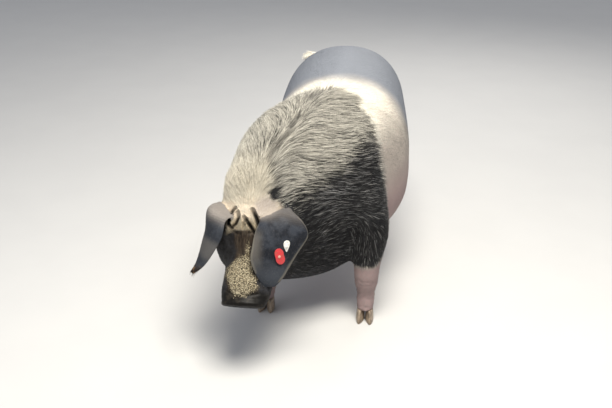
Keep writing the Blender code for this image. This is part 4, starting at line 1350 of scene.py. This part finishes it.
def skinColour(finish, fine):
    tone = finish.span(finish.noise(7.0, 4.0), 0.35, 0.65)
    dark = finish.mix(finish.span(fine, 0.3, 0.7), "darkSkin", "darkGrain")
    brow = finish.mix(finish.span(finish.noise(430.0, 2.0), 0.42, 0.60), "browSkin", "browGrain")
    streaky = finish.span(finish.grain((170.0, 24.0, 24.0), 4.0, 0.6), 0.38, 0.66)
    bridge = finish.mix(streaky, "bridgeSkin", "bridgeGrain")
    muzzle = finish.mix(finish.span(finish.noise(38.0, 4.0), 0.52, 0.70), "muzzleSkin", "muzzleGrain")
    return finish.layered(finish.mix(tone * 0.5, "paleSkin", "pinkSkin"), [
        # painted shade: the flank layer darkens the pale flanks, the pink layer is pink skin darkened as
        # shade, and the rump's blue-grey layer stands for pale skin in shade
        ("side", 0.85, "sideSkin"), ("pink", 0.75, "pinkSkin"), ("cool", 1.0, "coolSkin"),
        ("dark", 1.0, dark), ("part", 0.9, "partSkin"), ("blaze", 1.0, "blazeSkin"),
        ("patch", 0.9, "patchSkin"), ("brow", 0.85, brow), ("spot", 0.9, "darkSkin"),
        ("bridge", 0.95, bridge), ("muzzle", 0.95, muzzle),
    ])


def skinFinish():
    finish = Finish("sowSkin")
    fine = finish.noise(60.0, 4.0)
    gap, patchy, grit = gritLayer(finish)
    colour = finish.mix(patchy, skinColour(finish, fine), grit)
    # painted shade: the brow's furrows are near black
    colour = finish.layered(colour, [("furrow", 1.15, "furrowSkin"), ("ear", 1.0, earColour(finish))])
    fibres = finish.grain((420.0, 70.0, 260.0), 4.0, 0.6)
    wrinkles = finish.grain((60.0, 150.0, 95.0), warp=0.6)
    pores = finish.cells(420.0)[0]
    normal = finish.bump(fibres * 0.5 + fine * 0.5 + pores * 0.25, 0.50, 0.0012)
    normal = finish.bump(wrinkles, 0.30, 0.0022, normal)
    normal = finish.bump((1 - gap) * patchy, 0.65, 0.0026, normal)
    # fine lines run round the root of each ear
    rings = finish.mark("earShare") * 190.0 + finish.noise(9.0, 3.0) * 7.0
    lines = finish.shade("Math", {"operation": "SINE"}, {0: rings})
    root = finish.span(finish.mark("earShare"), 0.26, 0.05) * finish.mark("ear")
    normal = finish.bump(lines * root, 0.16, 0.0016, normal)
    rough = 0.64 - finish.mark("muzzle") * 0.10 - finish.mark("bridge") * 0.10 + patchy * 0.25
    return finish.surface({
        "Base Color": colour, "Roughness": rough, "Normal": normal, "Specular IOR Level": 0.13,
    })


def bristleColour(finish, tone):
    # the hair of the dark forehand, with pale bristles among the black ones
    pale = finish.mark("pale")
    lit = finish.mix(finish.span(pale, 0.0, 0.5), "duskBristle", "paleBristle")
    bristle = finish.mix(finish.span(tone + pale * 0.46, 0.72, 1.0), "darkBristle", lit)
    # scattered grey bristles, which also stand for painted sheen on the black hair
    frostAndSheenShare = finish.span(finish.mark("stray") + finish.mark("frost") * 0.16 - pale * 0.5, 0.89, 1.0)
    bristle = finish.mix(frostAndSheenShare, bristle, "greyBristle")
    bristle = finish.mix((1 - finish.mark("reach")) * 0.66, bristle, "bristleRoot")
    bristle = finish.layered(bristle, [("part", 0.75, "partHair")])
    return finish.dimmed(bristle, finish.span(tone, 0.0, 1.0, 0.30, 1.25))


def coatFinish():
    finish = Finish("sowCoat")
    tone = finish.mark("tone")
    ear = finish.mix(0.08 + finish.mark("earPale") * 0.45, earColour(finish), "earHair")
    colour = finish.layered("creamHair", [
        # painted shade: the flank layer darkens the pale flanks, the pink layer is pink hair darkened as
        # shade, and the rump's blue-grey layer stands for pale hair in shade
        ("side", 0.9, "sideHair"), ("cool", 1.0, "coolHair"), ("pink", 0.7, "pinkHair"),
        ("dark", 1.0, bristleColour(finish, tone)), ("face", 0.9, "faceHair"), ("blaze", 0.95, "blazeHair"),
        ("brow", 0.75, "browHair"), ("patch", 0.95, "patchHair"), ("spot", 0.85, "spotHair"),
        ("bridge", 0.9, "bridgeHair"), ("grit", 0.9, "gritHair"), ("muzzle", 0.9, "muzzleHair"),
        # painted shade: the hair in the brow's furrows is near black
        ("furrow", 0.9, "furrowHair"), ("ear", 1.0, ear),
    ])
    colour = finish.dimmed(colour, finish.span(tone, 0.0, 1.0, 0.84, 1.06))
    return finish.surface({"Base Color": colour, "Roughness": 0.52, "Specular IOR Level": 0.20})


skin.data.materials.clear()
skin.data.materials.append(skinFinish())
skin.data.polygons.foreach_set("material_index", np.zeros(len(skin.data.polygons), np.int32))


def wispTips(home, cell):
    # the middle of the tips that fall in each cell
    code = np.bitwise_xor.reduce(cellKeys(home, cell), axis=1)
    group = np.unique(code, return_inverse=True)[1].ravel()
    sums = np.stack([np.bincount(group, home[:, k]) for k in range(3)], 1)
    return (sums / np.bincount(group)[:, None])[group]


def layStrands(roots, lie, streak):
    # where each strand starts, bends and ends, and the place that it covers
    chance = roots.chance
    count = len(roots.places)
    length = roots.length * chance.uniform(*coatSet["lengths"], count) * (0.86 + 0.28 * streak)
    crossing = [furrowAt(roots.places + lie * (length * share)[:, None]) for share in (0.9, 0.5)]
    length *= 1 - 0.60 * np.clip(1.3 * np.maximum(*crossing), 0, 1) * isOn(roots.owner, "head")
    wide = roots.wide * chance.uniform(*coatSet["widths"], count)
    lift = roots.lift * chance.uniform(*coatSet["lifts"], count) * (0.55 + 0.90 * streak)
    stray = chance.normal(0, coatSet["stray"], count)
    lie = unit(lie + np.cross(roots.normals, lie) * stray[:, None])
    # tips gather in wisps
    home = roots.places + lie * (length * 0.8)[:, None]
    rear = smoothStep(roots.places[:, 1], -0.06, 0.10)
    pull = coatSet["gather"] * smoothStep(roots.length, 0.014, 0.036) * (1 - 0.85 * rear)
    wisp = wispTips(home, coatSet["wispCell"])
    tip = roots.places + lie * length[:, None] + (wisp - home) * pull[:, None]
    middle = roots.places * 0.52 + tip * 0.48
    middleSpot = nearestOn(skinTree, middle)[0] + roots.normals * (lift * coatSet["middleLift"])[:, None]
    tipSpot, tipWay = nearestOn(skinTree, tip)[:2]
    tipSpot += unit(tipWay + roots.normals) * (lift * coatSet["tipLift"])[:, None]
    # the switch of the tail and the tip of the right ear have hair that hangs free
    free = inSwitch(roots.places, roots.owner) | (isOn(roots.owner, "ear_right") & (roots.earTip > 0.75))
    tip = tip + roots.normals * (lift * coatSet["freeLift"])[:, None]
    tip[:, 2] -= length * coatSet["freeSag"]
    tip = np.where(free[:, None], tip, tipSpot)
    middle = np.where(free[:, None], middle + roots.normals * lift[:, None], middleSpot)
    root = roots.places - roots.normals * coatSet["sink"]
    heading = unit(tip - root)
    sideways = unit(np.cross(heading, roots.normals))
    strands = {
        "root": root, "middle": middle, "tip": tip, "wide": wide, "sideways": sideways,
        "upwards": unit(np.cross(sideways, heading)), "sheet": bakePlaces.at(roots.places),
    }
    return strands, middleSpot * 0.6 + tipSpot * 0.4


def makeCoat(material):
    roots = Roots(coatSet["strands"], coatSet["seed"])
    chance = roots.chance
    count = len(roots.places)
    lie = lieOf(roots.places, roots.normals, roots.owner)
    streak = streaks(roots.places, lie, *coatSet["streak"])
    fine = streaks(roots.places, lie, *coatSet["fineStreak"])
    strands, covered = layStrands(roots, lie, streak)
    # a strand takes its colours from the place that it covers
    marks = markings(covered, roots.owner)
    fray = chance.uniform(-coatSet["borderFray"], coatSet["borderFray"], count)
    marks["dark"] = smoothStep(marks["dark"] + fray, 0.38, 0.62)
    marks["stray"] = chance.uniform(0, 1, count)
    marks["tone"] = np.clip(0.36 * streak + 0.22 * fine + 0.42 * chance.uniform(0, 1, count), 0, 1)
    order = np.argsort(roots.places[:, 1], kind="stable")
    pieces = []
    for number, start in enumerate(range(0, count, coatSet["perPiece"])):
        rows = order[start:start + coatSet["perPiece"]]
        own, ownMarks = ({key: values[rows] for key, values in group.items()} for group in (strands, marks))
        pieces.append(buildStrands(f"coat_{number + 1:02d}", own, ownMarks, material))
    return pieces


coatPieces = makeCoat(coatFinish())
print("coat grown in", len(coatPieces), "pieces")

# eyes

# from the white at the back to the pupil in front
eyeStops = [
    (0.0, (0.55, 0.48, 0.42, 1)), (0.50, (0.42, 0.33, 0.27, 1)), (0.56, (0.030, 0.016, 0.009, 1)),
    (0.70, (0.10, 0.052, 0.022, 1)), (0.86, (0.06, 0.030, 0.014, 1)), (0.89, (0.004, 0.003, 0.003, 1)),
]


def eyeFinish():
    finish = Finish("eye")
    front = finish.mark("front")
    ball = finish.shade("ValToRGB", {"stops": eyeStops}, {"Fac": front})
    veins = finish.span(finish.noise(260.0, 5.0, 0.6, warp=1.5), 0.56, 0.64)
    colour = finish.mix(veins * (1 - finish.span(front, 0.40, 0.52)) * 0.5, ball, (0.30, 0.07, 0.05))
    return finish.surface({
        "Base Color": colour, "Roughness": 0.12, "Coat Weight": 1.0, "Coat Roughness": 0.03,
    })


eyeMaterial = eyeFinish()


def makeEye(side):
    radius = faceSet["eyeRadius"]
    outwards, fore, upwards = eyeFrame(side)
    mesh = bpy.data.meshes.new("eye")
    with editing(mesh) as bm:
        bmesh.ops.create_uvsphere(bm, u_segments=48, v_segments=32, radius=radius)
    heading = unit(getPlaces(mesh))
    facing = heading @ unit(outwards - upwards * 0.02 + fore * 0.05)
    u, v = heading @ fore, heading @ upwards
    iris = 1 - np.sqrt(u * u * 0.72 + v * v * 1.25)
    cornea = 0.0011 * smoothStep(facing, 0.80, 0.97)
    setPlaces(mesh, heading * (radius + cornea)[:, None] + eyeMiddle(side))
    writeMark(mesh, "front", np.where(facing > 0, np.clip(iris, 0, 1), 0))
    mesh.shade_smooth()
    mesh.materials.append(eyeMaterial)
    eye = linkObject("eyeball_" + side, mesh)
    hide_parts("eye_" + side)
    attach(eye, "root")


for side in ("left", "right"):
    makeEye(side)
print("eyes set")

# claws and dewclaws

hornSet = {
    "dark": (0.23, 0.172, 0.118),
    "pale": (0.32, 0.250, 0.180),
    "stain": (0.075, 0.052, 0.035),
    "edgeAngle": 48,
    "edgeCrease": 0.75,
}


def hornFinish():
    finish = Finish("horn")
    rings = finish.grain((18.0, 18.0, 420.0))
    fibres = finish.grain((520.0, 520.0, 30.0), rough=0.6)
    colour = finish.mix(finish.span(rings, 0.35, 0.65), hornSet["dark"], hornSet["pale"])
    colour = finish.mix(finish.span(finish.noise(40.0, 4.0), 0.45, 0.65) * 0.7, colour, hornSet["stain"])
    normal = finish.bump(rings * 0.8 + fibres * 0.35, 0.6, 0.0012)
    return finish.surface({"Base Color": colour, "Roughness": 0.46, "Normal": normal})


hornMaterial = hornFinish()


def makeHorn(name):
    mesh = bpy.data.meshes.new(name + "_horn")
    with editing(mesh, nodes[name].data) as bm:
        weld(bm)
        sharp = bm.edges.layers.float.new("crease_edge")
        for edge in bm.edges:
            if len(edge.link_faces) == 2 and edge.calc_face_angle() > math.radians(hornSet["edgeAngle"]):
                edge[sharp] = hornSet["edgeCrease"]
    horn = modified(linkObject(name + "_horn", mesh), "SUBSURF", levels=2, render_levels=2)
    places = getPlaces(horn.data)
    places[:, 2] = np.maximum(places[:, 2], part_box(name)[0].z)
    setPlaces(horn.data, places)
    dress(horn, hornMaterial, 40)
    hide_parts(name)
    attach(horn, "root")


for name in nodes:
    if "claw_" in name:
        makeHorn(name)
print("claws made")

# ear tags

tagSet = {
    "red": ((0.47, 0.030, 0.034), (0.24, 0.07, 0.05)),
    "white": ((0.74, 0.73, 0.68), (0.42, 0.38, 0.31)),
    "stud": ((0.55, 0.30, 0.24), (0.30, 0.16, 0.12)),
    "rim": 0.0006,
    "studRadii": (0.0052, 0.0046),
    "studHeight": 0.0024,
    "studRise": 0.0008,
    "studRim": 0.0007,
    "sharpAngle": 35,
}


def tagFinish(name, colour, dirt):
    finish = Finish(name)
    scuffs = finish.span(finish.noise(120.0, 5.0, 0.65), 0.48, 0.66)
    shade = finish.mix(scuffs * 0.55, colour, dirt)
    shade = finish.mix(finish.span(finish.noise(35.0, 3.0), 0.55, 0.75) * 0.4, shade, dirt)
    normal = finish.bump(finish.noise(380.0, 3.0), 0.25, 0.0006)
    rough = finish.span(scuffs, 0.0, 1.0, 0.38, 0.62)
    return finish.surface({"Base Color": shade, "Roughness": rough, "Normal": normal})


def studPlace(name):
    # the middle of a tag's front face, and the way out of it
    solid = nodes[name].data
    places = getPlaces(solid)
    way = np.array(max(solid.polygons, key=lambda face: face.area).normal)
    if way @ np.array((0.4, -0.9, 0.2)) < 0:
        way = -way
    top = (places - places.mean(axis=0)) @ way
    return places[top > top.max() - 0.0006].mean(axis=0), way


def makeTag(name, material, studMaterial):
    mesh = bpy.data.meshes.new(name + "_plate")
    with editing(mesh, nodes[name].data) as bm:
        weld(bm)
        bmesh.ops.dissolve_limit(bm, angle_limit=math.radians(3), verts=bm.verts, edges=bm.edges)
    plate = linkObject(name + "_plate", mesh)
    edges = {"limit_method": "ANGLE", "angle_limit": math.radians(50)}
    modified(plate, "BEVEL", width=tagSet["rim"], segments=3, **edges)
    dress(plate, material, tagSet["sharpAngle"])
    mesh = bpy.data.meshes.new(name + "_stud")
    with editing(mesh) as bm:
        low, high = tagSet["studRadii"]
        sizes = {"radius1": low, "radius2": high, "depth": tagSet["studHeight"]}
        bmesh.ops.create_cone(bm, cap_ends=True, segments=28, **sizes)
    stud = linkObject(name + "_stud", mesh)
    centre, way = studPlace(name)
    aim(stud, centre + way * tagSet["studRise"], way, "Z")
    modified(stud, "BEVEL", width=tagSet["studRim"], segments=3)
    dress(stud, studMaterial, tagSet["sharpAngle"])
    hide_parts(name)
    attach(plate, "root")
    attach(stud, "root")


redPlastic = tagFinish("redPlastic", *tagSet["red"])
whitePlastic = tagFinish("whitePlastic", *tagSet["white"])
makeTag("tag_red", redPlastic, tagFinish("studPlastic", *tagSet["stud"]))
makeTag("tag_white", whitePlastic, whitePlastic)
print("tags made")

# who rides and who replaces

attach(skin, "root")
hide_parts(*fleshNodes)
for piece in coatPieces:
    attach(piece, "root")

# floor and light

stageSet = {
    "floor": (0.52, 0.515, 0.50),
    "floorShade": (0.48, 0.475, 0.465),
    "skyColour": (0.86, 0.90, 1.0, 1),
    "sky": 0.50,
}
# each light's place, target, power, size and colour
lightSet = {
    "keyLight": ((0.5, -1.5, 3.8), (0, -0.2, 0.5), 275.0, 1.8, (1.0, 0.96, 0.88)),
    "fillLight": ((-2.8, -2.2, 2.2), (0, -0.3, 0.4), 18.0, 2.4, (0.92, 0.95, 1.0)),
    "backLight": ((0.8, 3.2, 2.8), (0, 0.2, 0.5), 55.0, 2.0, (1.0, 0.97, 0.92)),
}


def makeStage():
    mesh = bpy.data.meshes.new("floor")
    with editing(mesh) as bm:
        bmesh.ops.create_grid(bm, x_segments=1, y_segments=1, size=14)
    floor = linkObject("floor", mesh)
    floor.location = (0, 0, -0.0008)
    finish = Finish("floorPaint")
    speckle = finish.span(finish.noise(3.0, 4.0), 0.35, 0.65)
    colour = finish.mix(speckle * 0.25, stageSet["floor"], stageSet["floorShade"])
    floor.data.materials.append(finish.surface({"Base Color": colour, "Roughness": 0.8}))
    world = bpy.data.worlds.new("sky")
    world.use_nodes = True
    background = world.node_tree.nodes["Background"]
    background.inputs[0].default_value = stageSet["skyColour"]
    background.inputs[1].default_value = stageSet["sky"]
    bpy.context.scene.world = world


def makeLight(name, place, target, power, size, colour):
    data = bpy.data.lights.new(name, "AREA")
    data.energy = power
    data.size = size
    data.color = colour
    aim(linkObject(name, data), place, Vector(target) - Vector(place))


makeStage()
for name, values in lightSet.items():
    makeLight(name, *values)
print("stage set")
